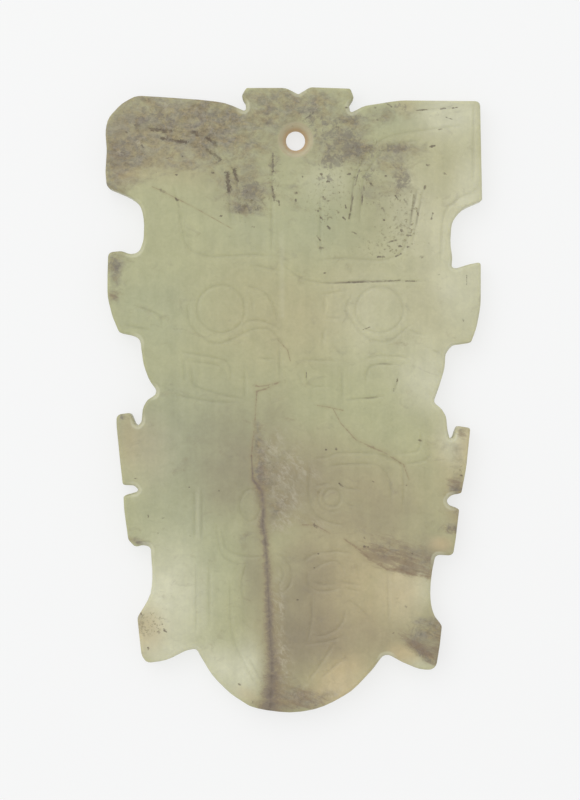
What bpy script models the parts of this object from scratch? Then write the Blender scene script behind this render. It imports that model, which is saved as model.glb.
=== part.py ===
"""Monster mask pendant: a flat plaque of pale green jade, sawn to the outline of a horned face.

The plaque lies on its plain back with the carved face up (+Z) and the crest toward +Y.
Its origin is on the underside, in the middle of its outline's box. Lengths are in metres.
"""
import math

import bmesh
import bpy
from mathutils import Vector

# Driving sizes. The outline and the carving keep their proportions to the height.
HEIGHT = 0.0901
THICKNESS = 0.0042
EDGE_CHAMFER = 0.00025
HOLE_WAIST_DIAMETER = 0.0028
HOLE_MOUTH_DIAMETER = 0.0048
GROOVE_WIDTH = 0.0005
GROOVE_DEPTH = 0.0002
GROOVE_RUN_OUT = 0.0008

# How finely round stretches are cut into straight ones. The sags are in drawn millimetres.
ARC_SAG = 0.03
LINE_SAG = 0.03
HOLE_SIDES = 48
SPAN_STEPS = 8

# How far a cutter stands out of the face that it cuts, and how slim a groove is where it runs out
DRILL_CLEARANCE = 0.0004
WHEEL_CLEARANCE = 0.0001
RUN_OUT_SHARE = 0.3
WELD_DISTANCE = 0.000001
FLAT_ANGLE = math.radians(0.1)
EDGE_ANGLE = math.radians(60)

JADE_COLOUR = (0.48, 0.46, 0.29, 1.0)
JADE_ROUGHNESS = 0.35

# The drawing is in millimetres. The crest, the horns and the cap are symmetric about this line.
MASK_AXIS = 0.2
HOLE_PLACE = (MASK_AXIS, 37.5)

# The outline, clockwise from the crest's left end: stretches of corners (x, y, rounding radius).
OUTLINE = {
    "crest": [
        (-6.9, 45.0, 0.4), (-1.2, 45.0, 2.0), (0.6, 44.1, 0.3), (2.3, 45.1, 1.2), (8.1, 44.9, 0.35),
        (8.6, 43.6, 0.4), (7.9, 42.5, 0.4), (8.1, 41.4, 0.3),
    ],
    "right horn": [
        (10.1, 42.4, 2.2), (15.2, 43.2, 11.5), (26.8, 43.1, 0.7), (27.1, 28.8, 0.35), (24.3, 27.6, 2.9),
    ],
    "right temple": [
        (22.7, 25.7, 2.9), (22.5, 22.6, 4.3), (22.8, 20.5, 1.4), (22.7, 19.2, 0.3), (23.3, 19.0, 0.3),
    ],
    "right ear": [
        (25.3, 19.6, 1.7), (26.9, 19.9, 0.35), (26.9, 13.7, 11.5), (26.3, 10.5, 5.8), (25.5, 8.3, 0.5),
        (22.7, 7.9, 1.2),
    ],
    "right cheek": [
        (21.8, 6.6, 1.4), (21.7, 4.6, 5.8), (20.9, 2.0, 5.8), (20.1, -0.3, 0.6), (21.2, -1.2, 1.2),
        (21.9, -2.3, 1.7), (22.1, -4.3, 2.9), (22.4, -5.5, 0.4), (22.8, -5.5, 0.3),
    ],
    "right whisker": [
        (23.5, -3.7, 0.4), (25.4, -4.0, 0.35), (24.8, -9.8, 14.4), (24.1, -13.4, 0.35), (22.6, -13.7, 1.2),
    ],
    "right tusk": [
        (21.9, -14.5, 0.6), (22.4, -15.2, 0.6), (23.8, -15.7, 0.35), (23.3, -19.9, 8.6), (22.9, -22.4, 0.7),
        (20.4, -22.3, 0.7),
    ],
    "right jaw": [
        (19.9, -24.5, 4.3), (19.6, -27.1, 8.6), (19.7, -29.4, 5.8), (20.2, -31.1, 2.9), (21.3, -32.5, 0.7),
        (21.0, -35.3, 8.6), (20.4, -38.9, 1.2), (18.1, -38.8, 4.3), (15.5, -37.7, 4.3), (13.1, -36.4, 1.2),
    ],
    "chin": [
        (11.3, -38.8, 5.8), (8.3, -42.0, 8.6), (3.7, -44.5, 11.5), (-0.6, -45.1, 11.5), (-4.6, -44.6, 8.6),
        (-6.4, -44.1, 2.9), (-9.2, -42.3, 8.6), (-11.8, -39.7, 8.6), (-13.6, -36.7, 2.9),
        (-14.1, -35.8, 0.9),
    ],
    "left jaw": [
        (-15.6, -36.1, 1.4), (-18.4, -37.5, 5.8), (-21.3, -37.9, 1.2), (-22.0, -36.7, 1.2),
        (-22.3, -34.1, 8.6), (-22.6, -31.3, 1.2), (-21.6, -29.7, 2.9), (-20.6, -27.9, 5.8),
        (-20.4, -25.2, 8.6), (-20.7, -21.1, 0.7),
    ],
    "left tusk": [
        (-21.9, -20.9, 0.6), (-22.9, -21.2, 0.9), (-23.9, -20.1, 0.9), (-24.5, -15.8, 8.6),
        (-24.6, -13.8, 0.35), (-22.8, -13.3, 0.4), (-22.4, -12.9, 0.4), (-23.1, -12.3, 0.4),
    ],
    "left whisker": [
        (-24.7, -12.2, 0.35), (-25.1, -8.6, 8.6), (-25.6, -3.7, 8.6), (-25.6, -2.1, 0.7),
        (-23.6, -1.8, 0.6), (-22.9, -3.4, 0.4), (-22.5, -3.7, 0.3),
    ],
    "left cheek": [
        (-22.0, -3.1, 0.7), (-21.8, -1.1, 1.4), (-21.2, 0.0, 1.4), (-20.0, 0.8, 0.4), (-19.9, 1.5, 0.4),
        (-20.9, 2.9, 4.3), (-21.7, 5.1, 5.8), (-22.0, 7.2, 4.3), (-22.2, 8.9, 1.2), (-23.6, 9.4, 2.2),
    ],
    "left ear": [
        (-25.2, 9.7, 0.7), (-26.2, 12.1, 4.3), (-26.9, 14.9, 5.8), (-26.9, 18.0, 8.6), (-26.8, 21.3, 0.7),
        (-24.9, 21.5, 1.4), (-23.5, 21.0, 1.4), (-22.3, 21.4, 1.2),
    ],
    "left temple": [
        (-21.7, 23.1, 2.9), (-21.6, 25.7, 4.3), (-22.1, 28.2, 2.9), (-23.9, 29.4, 4.3), (-27.0, 30.7, 0.9),
    ],
    "left horn": [
        (-27.2, 32.9, 2.9), (-27.0, 36.0, 4.3), (-27.2, 38.6, 2.9), (-26.9, 40.6, 4.3), (-24.9, 42.7, 4.3),
        (-22.8, 43.9, 2.9), (-19.3, 43.7, 8.6), (-13.6, 43.3, 8.6), (-10.0, 42.9, 8.6), (-6.9, 41.6, 0.3),
        (-7.0, 42.8, 0.4), (-7.6, 43.8, 0.6),
    ],
}


def rounded(corners, sag):
    """A closed outline through corners (x, y, radius), each rounded by an arc of its radius."""
    points = []
    for index, (x, y, radius) in enumerate(corners):
        corner = Vector((x, y))
        before = Vector(corners[index - 1][:2]) - corner
        after = Vector(corners[(index + 1) % len(corners)][:2]) - corner
        half = before.angle(after) / 2
        reach = min(radius / math.tan(half), before.length / 2, after.length / 2)
        radius = reach * math.tan(half)
        start = corner + before.normalized() * reach
        middle = corner + (before.normalized() + after.normalized()).normalized() * radius / math.sin(half)
        turn = (start - middle).angle_signed(corner + after.normalized() * reach - middle)
        steps = max(1, math.ceil(abs(turn) / (2 * math.acos(1 - min(sag / radius, 0.5)))))
        for step in range(steps + 1):
            angle = -turn * step / steps
            spoke = start - middle
            points.append(Vector((
                middle.x + spoke.x * math.cos(angle) - spoke.y * math.sin(angle),
                middle.y + spoke.x * math.sin(angle) + spoke.y * math.cos(angle),
            )))
    return [p for p, last in zip(points, points[-1:] + points) if (p - last).length > 2 * sag]


CORNERS = [corner for stretch in OUTLINE.values() for corner in stretch]
DRAWN_OUTLINE = rounded(CORNERS, ARC_SAG)
LEFT, RIGHT = min(x for x, y in DRAWN_OUTLINE), max(x for x, y in DRAWN_OUTLINE)
LOW, HIGH = min(y for x, y in DRAWN_OUTLINE), max(y for x, y in DRAWN_OUTLINE)
UNIT = HEIGHT / (HIGH - LOW)


def on_plaque(point):
    """A drawn point in metres, from the middle of the outline's box."""
    return ((point[0] - (LEFT + RIGHT) / 2) * UNIT, (point[1] - (LOW + HIGH) / 2) * UNIT)


def mirrored(line, rise=0.0):
    """A drawn line on the other side of the mask, a little higher or lower if the carver's hand slipped."""
    return [(2 * MASK_AXIS - x, y + rise) for x, y in line]


def beside(line, gap):
    """A drawn line that keeps a gap to the left of another one, as seen along it."""
    moved = []
    for index, (x, y) in enumerate(line):
        ahead = Vector(line[min(index + 1, len(line) - 1)])
        along = (ahead - Vector(line[max(index - 1, 0)])).normalized()
        moved.append((x - along.y * gap, y + along.x * gap))
    return moved


def arc(middle, radius, start, end, steps=6):
    """Points on an arc, angles in degrees counted from +X toward +Y."""
    angles = [math.radians(start + (end - start) * step / steps) for step in range(steps + 1)]
    return [(middle[0] + radius * math.cos(a), middle[1] + radius * math.sin(a)) for a in angles]


def oval(middle, across, tall, sides):
    """A closed ring of points."""
    angles = [2 * math.pi * side / sides for side in range(sides)]
    return [(middle[0] + across * math.cos(a), middle[1] + tall * math.sin(a)) for a in angles]


def horn_lines():
    """A double line sweeping from each horn's tip down beside the cap, and the right horn's border."""
    sweep = [
        (-23.4, 39.5), (-17.8, 38.8), (-14.2, 38.2), (-12.0, 37.3), (-10.2, 35.4), (-8.8, 33.2),
        (-8.2, 31.3), (-7.9, 28.8), (-7.7, 25.6),
    ]
    partner = beside(sweep[1:], -1.35)
    rim = [(26.5, 30.5), (25.4, 29.8), (23.8, 29.1), (22.4, 28.0), (21.6, 26.6), (21.3, 24.2), (21.1, 19.9)]
    return [
        sweep, mirrored(sweep), partner, mirrored(partner), rim,
        [(25.9, 42.6), (25.8, 30.8)], [(17.3, 41.7), (23.5, 42.1)],
    ]


def cap_lines():
    """The cap between the horns: two uprights, and a bar that turns up at its outer end."""
    bar = [
        (3.7, 20.2), (7.2, 20.4), (11.8, 20.1), (13.8, 20.4), (15.1, 21.0), (16.1, 22.5), (16.6, 24.8),
        (17.0, 27.2), (17.8, 30.5),
    ]
    return [
        bar, mirrored(bar, 0.5), beside(bar[5:], -0.9),
        [(3.8, 29.1), (3.8, 20.7)], [(-3.2, 36.0), (-3.2, 21.3)],
    ]


def brow_lines():
    """The brow, which falls away from the middle and runs level over the right eye."""
    return [
        [(-1.8, 19.7), (-0.7, 18.7), (0.4, 17.9), (1.7, 17.3), (3.2, 17.0), (5.3, 16.8), (10.4, 17.1),
         (18.7, 17.1)],
        [(-5.8, 19.4), (-2.3, 18.6)],
    ]


def left_eye_lines():
    """The lids of the left eye. The lower one swings on toward the nose as a double line."""
    lower = [
        (-15.3, 13.8), (-15.1, 11.2), (-14.0, 9.7), (-12.5, 8.5), (-11.1, 8.1), (-9.4, 8.5), (-6.3, 10.0),
        (-4.4, 10.3), (-3.2, 9.9), (-2.2, 8.8), (-1.5, 7.9),
    ]
    return [
        lower,
        [(-7.4, 10.9), (-6.6, 11.3), (-5.5, 11.5), (-4.4, 11.3), (-3.3, 10.8), (-2.2, 10.4)],
        [(-7.3, 16.5), (-5.6, 16.1), (-4.2, 15.4), (-3.3, 14.3), (-2.7, 13.1), (-2.4, 11.3)],
        [(-6.1, 14.7), (-5.9, 13.0)],
    ]


def right_eye_lines():
    """The lid around the right eye, and the small box between it and the nose."""
    return [
        [(8.3, 15.1), (7.6, 13.6), (7.8, 12.2), (9.6, 9.7), (11.1, 8.7), (12.7, 8.4), (14.2, 8.7),
         (16.7, 10.8)],
        [(16.9, 10.2), (17.3, 9.8), (17.8, 9.6), (18.7, 9.3)],
        [(4.2, 15.2), (7.5, 15.8)], [(4.4, 14.8), (4.4, 12.4)], [(4.2, 11.9), (6.9, 11.8)],
        [(4.4, 10.1), (4.2, 9.1), (4.1, 7.8)],
    ]


def ear_lines():
    """Short hooks on the ears and under them."""
    return [
        [(-22.6, 13.4), (-20.9, 12.9), (-19.5, 12.2), (-19.1, 11.5), (-19.0, 10.5)],
        [(-24.5, 10.8), (-20.6, 10.0)], [(19.6, 7.4), (21.2, 6.5)],
        [(18.3, -4.6), (18.3, -6.2), (17.6, -7.4), (15.2, -7.7)],
        [(19.6, -8.0), (18.5, -8.8), (16.0, -9.2)],
    ]


def nose_lines():
    """The bridge's sides, the bar across it and the right nostril."""
    return [
        [(-2.1, 7.7), (-2.0, 3.3)], [(-5.2, 6.0), (-2.8, 5.9)], [(1.2, 5.8), (6.5, 5.6)],
        [(1.7, 4.5), (1.8, 3.2), (2.1, 2.3), (3.0, 1.9), (4.9, 2.0)], [(0.7, 3.5), (1.0, 2.3)],
    ]


def left_cheek_lines():
    """The square spiral on the left cheek."""
    return [
        [(-16.2, 6.9), (-12.3, 6.2), (-10.3, 5.8), (-9.5, 5.2), (-9.1, 4.1), (-9.1, 3.2)],
        [(-15.1, 5.6), (-13.6, 5.4), (-11.4, 5.1), (-10.3, 4.4), (-9.8, 3.6), (-9.6, 2.9)],
        [(-15.9, 5.8), (-15.7, 2.6)],
        [(-14.8, 5.0), (-14.7, 3.6), (-14.4, 2.2), (-13.4, 1.6), (-11.4, 1.0), (-9.2, 0.4), (-7.5, 0.2)],
        [(-7.1, 4.4), (-7.0, 0.1)],
        [(-16.9, 0.7), (-14.0, 0.1), (-11.4, -0.3), (-8.7, -0.4)],
    ]


def right_cheek_lines():
    """The square spiral on the right cheek."""
    return [
        [(10.0, 5.7), (11.1, 6.2), (12.6, 6.4), (15.5, 6.2), (16.6, 5.7)],
        [(10.4, 2.5), (10.5, 3.5), (10.7, 4.4), (11.3, 4.9), (12.2, 5.2), (13.4, 5.2), (15.0, 5.0)],
        [(15.2, 4.0), (14.9, 2.8), (14.6, 1.7), (14.1, 1.0)],
        [(7.5, 0.0), (8.7, 0.1), (12.8, 0.5)], [(6.9, 4.6), (7.0, 0.1)],
    ]


def lower_face_lines():
    """The small face below the mouth: a double loop around its right eye, and the lids of that eye."""
    eye = (5.5, -14.1)
    return [
        [(3.3, -8.4), (5.0, -8.2), (6.0, -7.7), (8.4, -7.6), (11.5, -7.7), (13.5, -8.3), (15.2, -9.2),
         (15.7, -10.1), (15.8, -12.9), (15.7, -15.4)],
        [(5.2, -9.6), (6.8, -9.3), (10.9, -9.2), (12.5, -9.7), (13.6, -11.0), (14.0, -12.5), (14.0, -14.4)],
        [(2.4, -9.6), (2.1, -12.5), (2.4, -14.9), (3.3, -16.7), (5.0, -17.6), (7.0, -18.0)],
        arc(eye, 2.0, 138, 300),
        [(3.4, -12.3), (5.1, -12.1)], [(6.6, -11.6), (7.1, -12.5), (8.0, -12.8), (9.5, -12.9)],
        [(7.4, -14.9), (8.8, -15.4)],
    ]


def left_jaw_lines():
    """The left jaw: a double line that turns in, a scroll, the long line to the chin and two ridges."""
    inner = [(-10.4, -18.7), (-10.0, -20.6), (-9.4, -21.7), (-8.0, -22.4), (-6.3, -22.6), (-4.6, -22.5)]
    outer = [(-11.2, -18.3), (-10.9, -20.3), (-10.4, -22.3), (-9.4, -23.2), (-8.1, -23.7)]
    chin = [
        (-9.2, -26.4), (-9.2, -30.1), (-9.0, -32.9), (-8.6, -34.9), (-7.6, -37.1), (-6.4, -39.5),
        (-5.4, -41.1),
    ]
    ridges = [[(x, top), (x, foot)] for x, top, foot in (
        (-14.3, -13.2, -19.9), (-13.3, -13.2, -19.9), (-14.1, -23.9, -33.4), (-12.2, -23.9, -32.8))]
    return [
        inner, outer, chin, [(-6.6, -37.1), (-5.3, -39.3), (-4.7, -40.5)],
        [(-6.9, -23.7), (-7.4, -25.5), (-7.6, -27.0), (-7.4, -28.3), (-6.9, -29.9)],
        [(-7.6, -31.4), (-6.8, -32.4), (-5.8, -33.2)],
    ] + ridges


def right_jaw_lines():
    """The right jaw: half a ring by the middle, a long scroll, a square lobe and strokes to the chin."""
    ring = (-3.4, -25.2)
    return [
        arc(ring, 3.1, 72, -55), arc(ring, 1.85, 62, -50),
        [(1.4, -23.3), (2.1, -22.6), (3.2, -22.1), (4.6, -21.9), (6.4, -21.8), (8.3, -22.1)],
        [(1.9, -24.6), (2.1, -26.4), (3.2, -27.4), (4.9, -27.5), (6.5, -27.1)],
        [(2.8, -24.4), (4.2, -23.5), (5.7, -23.2), (6.7, -23.7), (7.4, -24.9)],
        [(2.9, -26.2), (4.2, -26.6), (6.0, -26.4)], [(6.4, -26.0), (7.8, -26.4), (9.5, -26.6)],
        [(7.5, -27.1), (9.4, -27.6)], [(8.7, -23.1), (9.2, -24.2), (9.5, -25.8)],
        [(2.5, -28.3), (2.6, -31.0), (2.3, -33.1), (2.0, -34.5)],
        [(1.9, -35.1), (3.9, -34.9), (5.4, -34.6), (6.9, -34.1)],
        [(2.8, -34.0), (4.5, -33.8), (6.1, -33.0), (7.1, -31.7), (7.4, -30.1)],
        [(5.8, -35.0), (4.6, -36.9), (3.5, -38.5), (2.1, -40.3)],
        [(7.2, -37.2), (5.6, -38.5), (3.9, -40.1)],
        [(7.7, -28.7), (9.1, -29.7), (10.6, -31.0), (11.4, -31.9)], [(13.5, -25.0), (13.6, -31.5)],
    ]


def ring_lines():
    """The closed rings: both eyes, the small eye of the lower face and the oval across from it."""
    return [
        oval((-10.5, 13.1), 3.45, 3.45, 28), oval((12.3, 13.0), 3.45, 3.3, 28),
        oval((5.5, -14.1), 1.25, 1.25, 16), oval((-6.3, -15.2), 1.45, 2.3, 18),
    ]


def new_collection(name):
    """An empty collection in the scene."""
    collection = bpy.data.collections.new(name)
    bpy.context.scene.collection.children.link(collection)
    return collection


def as_mesh(curve_object, name, collection):
    """A mesh object made from a curve object, its caps welded on as one face, and the curve removed."""
    bpy.context.view_layer.update()
    evaluated = curve_object.evaluated_get(bpy.context.evaluated_depsgraph_get())
    mesh = bpy.data.meshes.new_from_object(evaluated)
    mesh.name = name
    surface = bmesh.new()
    surface.from_mesh(mesh)
    bmesh.ops.remove_doubles(surface, verts=surface.verts[:], dist=WELD_DISTANCE)
    bmesh.ops.dissolve_limit(
        surface, angle_limit=FLAT_ANGLE, verts=surface.verts[:], edges=surface.edges[:])
    bmesh.ops.recalc_face_normals(surface, faces=surface.faces[:])
    surface.to_mesh(mesh)
    surface.free()
    mesh_object = bpy.data.objects.new(name, mesh)
    mesh_object.matrix_world = curve_object.matrix_world
    collection.objects.link(mesh_object)
    bpy.data.objects.remove(curve_object)
    return mesh_object


def add_spline(curve, points, closed):
    """A straight-edged spline through points (x, y, z, radius)."""
    spline = curve.splines.new("POLY")
    spline.points.add(len(points) - 1)
    for spot, (x, y, z, radius) in zip(spline.points, points):
        spot.co = (x, y, z, 1.0)
        spot.radius = radius
    spline.use_cyclic_u = closed


def new_curve(name, collection, dimensions):
    """An empty curve object."""
    curve = bpy.data.curves.new(name, "CURVE")
    curve.dimensions = dimensions
    curve_object = bpy.data.objects.new(name, curve)
    collection.objects.link(curve_object)
    return curve_object


def hide_cutter(cutter):
    """A cutter shows as wire and is left out of renders."""
    cutter.hide_render = True
    cutter.display_type = "WIRE"


def flowing(line):
    """Close points on a smooth curve through the points of a drawn line, in metres."""
    knots = [Vector(on_plaque(point)) for point in line]
    knots = [2 * knots[0] - knots[1]] + knots + [2 * knots[-1] - knots[-2]]
    points = []
    for a, b, c, d in zip(knots, knots[1:], knots[2:], knots[3:]):
        for step in range(SPAN_STEPS):
            t = step / SPAN_STEPS
            pull = (c - a) * t + (2 * a - 5 * b + 4 * c - d) * t ** 2 + (3 * b - a - 3 * c + d) * t ** 3
            points.append(b + pull / 2)
    return points + [knots[-2]]


def thinned(points, sag):
    """The fewest of the points whose straight spans stay within the sag of them all."""
    if len(points) < 3:
        return points
    chord = points[-1] - points[0]
    far, most = 0, 0.0
    for index in range(1, len(points) - 1):
        away = abs(chord.cross(points[index] - points[0])) / chord.length
        if away > most:
            far, most = index, away
    if most < sag:
        return [points[0], points[-1]]
    return thinned(points[:far + 1], sag)[:-1] + thinned(points[far:], sag)


def stroke(line):
    """A drawn line as spline points. The groove is thinner and shallower where it runs out at its ends."""
    points = flowing(line)
    lengths = [0.0]
    for start, end in zip(points, points[1:]):
        lengths.append(lengths[-1] + (end - start).length)
    run_out = min(GROOVE_RUN_OUT, lengths[-1] / 3)
    full = [p for p, length in zip(points, lengths) if run_out <= length <= lengths[-1] - run_out]
    ends = [(points[0], RUN_OUT_SHARE), (points[-1], RUN_OUT_SHARE)]
    if len(full) < 2:
        full = [points[0].lerp(points[-1], share) for share in (1 / 3, 2 / 3)]
    spots = [ends[0]] + [(p, 1.0) for p in thinned(full, LINE_SAG * UNIT)] + [ends[1]]
    return [(p.x, p.y, THICKNESS, radius) for p, radius in spots]


def add_plaque(collection):
    """The sawn plaque with its edges eased, in the jade's plain colour."""
    outline = new_curve("plaque_outline", collection, "2D")
    outline.data.fill_mode = "BOTH"
    outline.data.extrude = THICKNESS / 2
    add_spline(outline.data, [(*on_plaque(point), 0.0, 1.0) for point in DRAWN_OUTLINE], True)
    outline.location.z = THICKNESS / 2
    plaque = as_mesh(outline, "mask_plaque", collection)
    ease = plaque.modifiers.new("eased edges", "BEVEL")
    ease.width = EDGE_CHAMFER
    ease.segments = 1
    ease.limit_method = "ANGLE"
    ease.angle_limit = EDGE_ANGLE
    plaque.data.materials.append(jade())
    return plaque


def jade():
    """Pale yellow-green nephrite with a soft polish."""
    material = bpy.data.materials.new("jade")
    material.use_nodes = True
    shader = material.node_tree.nodes["Principled BSDF"]
    shader.inputs["Base Color"].default_value = JADE_COLOUR
    shader.inputs["Roughness"].default_value = JADE_ROUGHNESS
    return material


def add_drill(collection):
    """The cord hole's cutter: a drill's cone from each face, meeting at a waist half way through."""
    mouth = HOLE_MOUTH_DIAMETER / 2
    waist = HOLE_WAIST_DIAMETER / 2
    flare = (mouth - waist) * DRILL_CLEARANCE / (THICKNESS / 2)
    top = THICKNESS + DRILL_CLEARANCE
    profile = [
        (0.0, top), (mouth + flare, top), (waist, THICKNESS / 2), (mouth + flare, -DRILL_CLEARANCE),
        (0.0, -DRILL_CLEARANCE),
    ]
    mesh = bpy.data.meshes.new("drill")
    mesh.from_pydata([(x, 0.0, z) for x, z in profile], [(i, i + 1) for i in range(len(profile) - 1)], [])
    drill = bpy.data.objects.new("drill", mesh)
    collection.objects.link(drill)
    drill.location = (*on_plaque(HOLE_PLACE), 0.0)
    turn = drill.modifiers.new("turn", "SCREW")
    turn.steps = HOLE_SIDES
    turn.render_steps = HOLE_SIDES
    turn.use_merge_vertices = True
    turn.merge_threshold = WELD_DISTANCE
    hide_cutter(drill)
    return drill


def add_engraver(collection):
    """The carved lines' cutter: a V-shaped wheel cut along every drawn line."""
    wheel = new_curve("wheel_section", collection, "2D")
    rise = WHEEL_CLEARANCE
    spread = GROOVE_WIDTH / 2 * (1 + rise / GROOVE_DEPTH)
    section = [(-spread, rise, 0.0, 1.0), (0.0, -GROOVE_DEPTH, 0.0, 1.0), (spread, rise, 0.0, 1.0)]
    add_spline(wheel.data, section, True)
    lines = new_curve("carved_lines", collection, "3D")
    lines.data.twist_mode = "Z_UP"
    lines.data.bevel_mode = "OBJECT"
    lines.data.bevel_object = wheel
    lines.data.use_fill_caps = True
    open_lines = (
        horn_lines() + cap_lines() + brow_lines() + left_eye_lines() + right_eye_lines() + ear_lines()
        + nose_lines() + left_cheek_lines() + right_cheek_lines() + lower_face_lines() + left_jaw_lines()
        + right_jaw_lines()
    )
    for line in open_lines:
        add_spline(lines.data, stroke(line), False)
    for ring in ring_lines():
        add_spline(lines.data, [(*on_plaque(point), THICKNESS, 1.0) for point in ring], True)
    engraver = as_mesh(lines, "carved_lines", collection)
    bpy.data.objects.remove(wheel)
    hide_cutter(engraver)
    return engraver


def cut(piece, cutter, crossing):
    """Takes a cutter's shape out of a piece. Crossing is for a cutter whose own bodies cross each other."""
    boolean = piece.modifiers.new(cutter.name, "BOOLEAN")
    boolean.operation = "DIFFERENCE"
    boolean.solver = "EXACT"
    boolean.use_self = crossing
    boolean.object = cutter


def main():
    """Builds the pendant in an emptied scene."""
    for old in list(bpy.data.objects):
        bpy.data.objects.remove(old)
    pendant = new_collection("monster_mask_pendant")
    cutters = new_collection("cutters")
    plaque = add_plaque(pendant)
    cut(plaque, add_drill(cutters), False)
    cut(plaque, add_engraver(cutters), True)


main()
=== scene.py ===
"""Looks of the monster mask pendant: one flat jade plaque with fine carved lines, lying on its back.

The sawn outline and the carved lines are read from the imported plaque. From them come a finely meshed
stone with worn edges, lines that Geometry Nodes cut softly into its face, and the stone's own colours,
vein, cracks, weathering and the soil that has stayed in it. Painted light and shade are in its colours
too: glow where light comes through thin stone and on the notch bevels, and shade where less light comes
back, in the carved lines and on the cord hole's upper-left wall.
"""
import math

import bmesh
import bpy
import numpy as np
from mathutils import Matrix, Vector
from mathutils.geometry import delaunay_2d_cdt
from mathutils.kdtree import KDTree


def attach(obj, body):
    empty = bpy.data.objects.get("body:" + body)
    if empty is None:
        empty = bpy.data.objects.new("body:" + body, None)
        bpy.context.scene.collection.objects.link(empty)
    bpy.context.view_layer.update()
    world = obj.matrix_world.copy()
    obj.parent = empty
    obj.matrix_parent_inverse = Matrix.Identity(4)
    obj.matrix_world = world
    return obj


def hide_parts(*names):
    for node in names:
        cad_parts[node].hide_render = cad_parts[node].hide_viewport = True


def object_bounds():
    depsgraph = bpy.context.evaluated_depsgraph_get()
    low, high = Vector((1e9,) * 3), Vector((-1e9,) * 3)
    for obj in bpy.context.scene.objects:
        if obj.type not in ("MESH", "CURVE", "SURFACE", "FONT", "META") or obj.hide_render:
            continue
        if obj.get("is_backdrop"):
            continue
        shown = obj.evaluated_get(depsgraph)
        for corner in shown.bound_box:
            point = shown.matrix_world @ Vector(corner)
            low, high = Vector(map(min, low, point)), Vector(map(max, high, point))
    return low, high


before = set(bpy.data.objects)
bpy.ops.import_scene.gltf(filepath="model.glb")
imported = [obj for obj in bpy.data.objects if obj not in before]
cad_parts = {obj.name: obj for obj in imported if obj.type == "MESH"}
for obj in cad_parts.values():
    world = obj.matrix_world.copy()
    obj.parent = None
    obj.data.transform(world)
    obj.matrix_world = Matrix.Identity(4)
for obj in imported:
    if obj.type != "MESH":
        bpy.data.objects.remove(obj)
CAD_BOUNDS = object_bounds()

bl_info = {
    "name": "Monster mask pendant",
    "version": (1, 0, 0),
    "blender": (4, 5, 0),
    "location": "View3D > Sidebar > Mask pendant",
    "description": "Dresses the packed jade plaque as a worn, carved pendant and sets its stage",
    "category": "Add Mesh",
}

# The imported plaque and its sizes. Drawn places below are in millimetres from the plaque's middle.
NODE = "mask_plaque"
MM = 0.001
FACE_HEIGHT = CAD_BOUNDS[1][2]
HOLE = (0.25, 37.46)
HOLE_MOUTH = 2.4
HOLE_WAIST = 1.4

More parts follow.
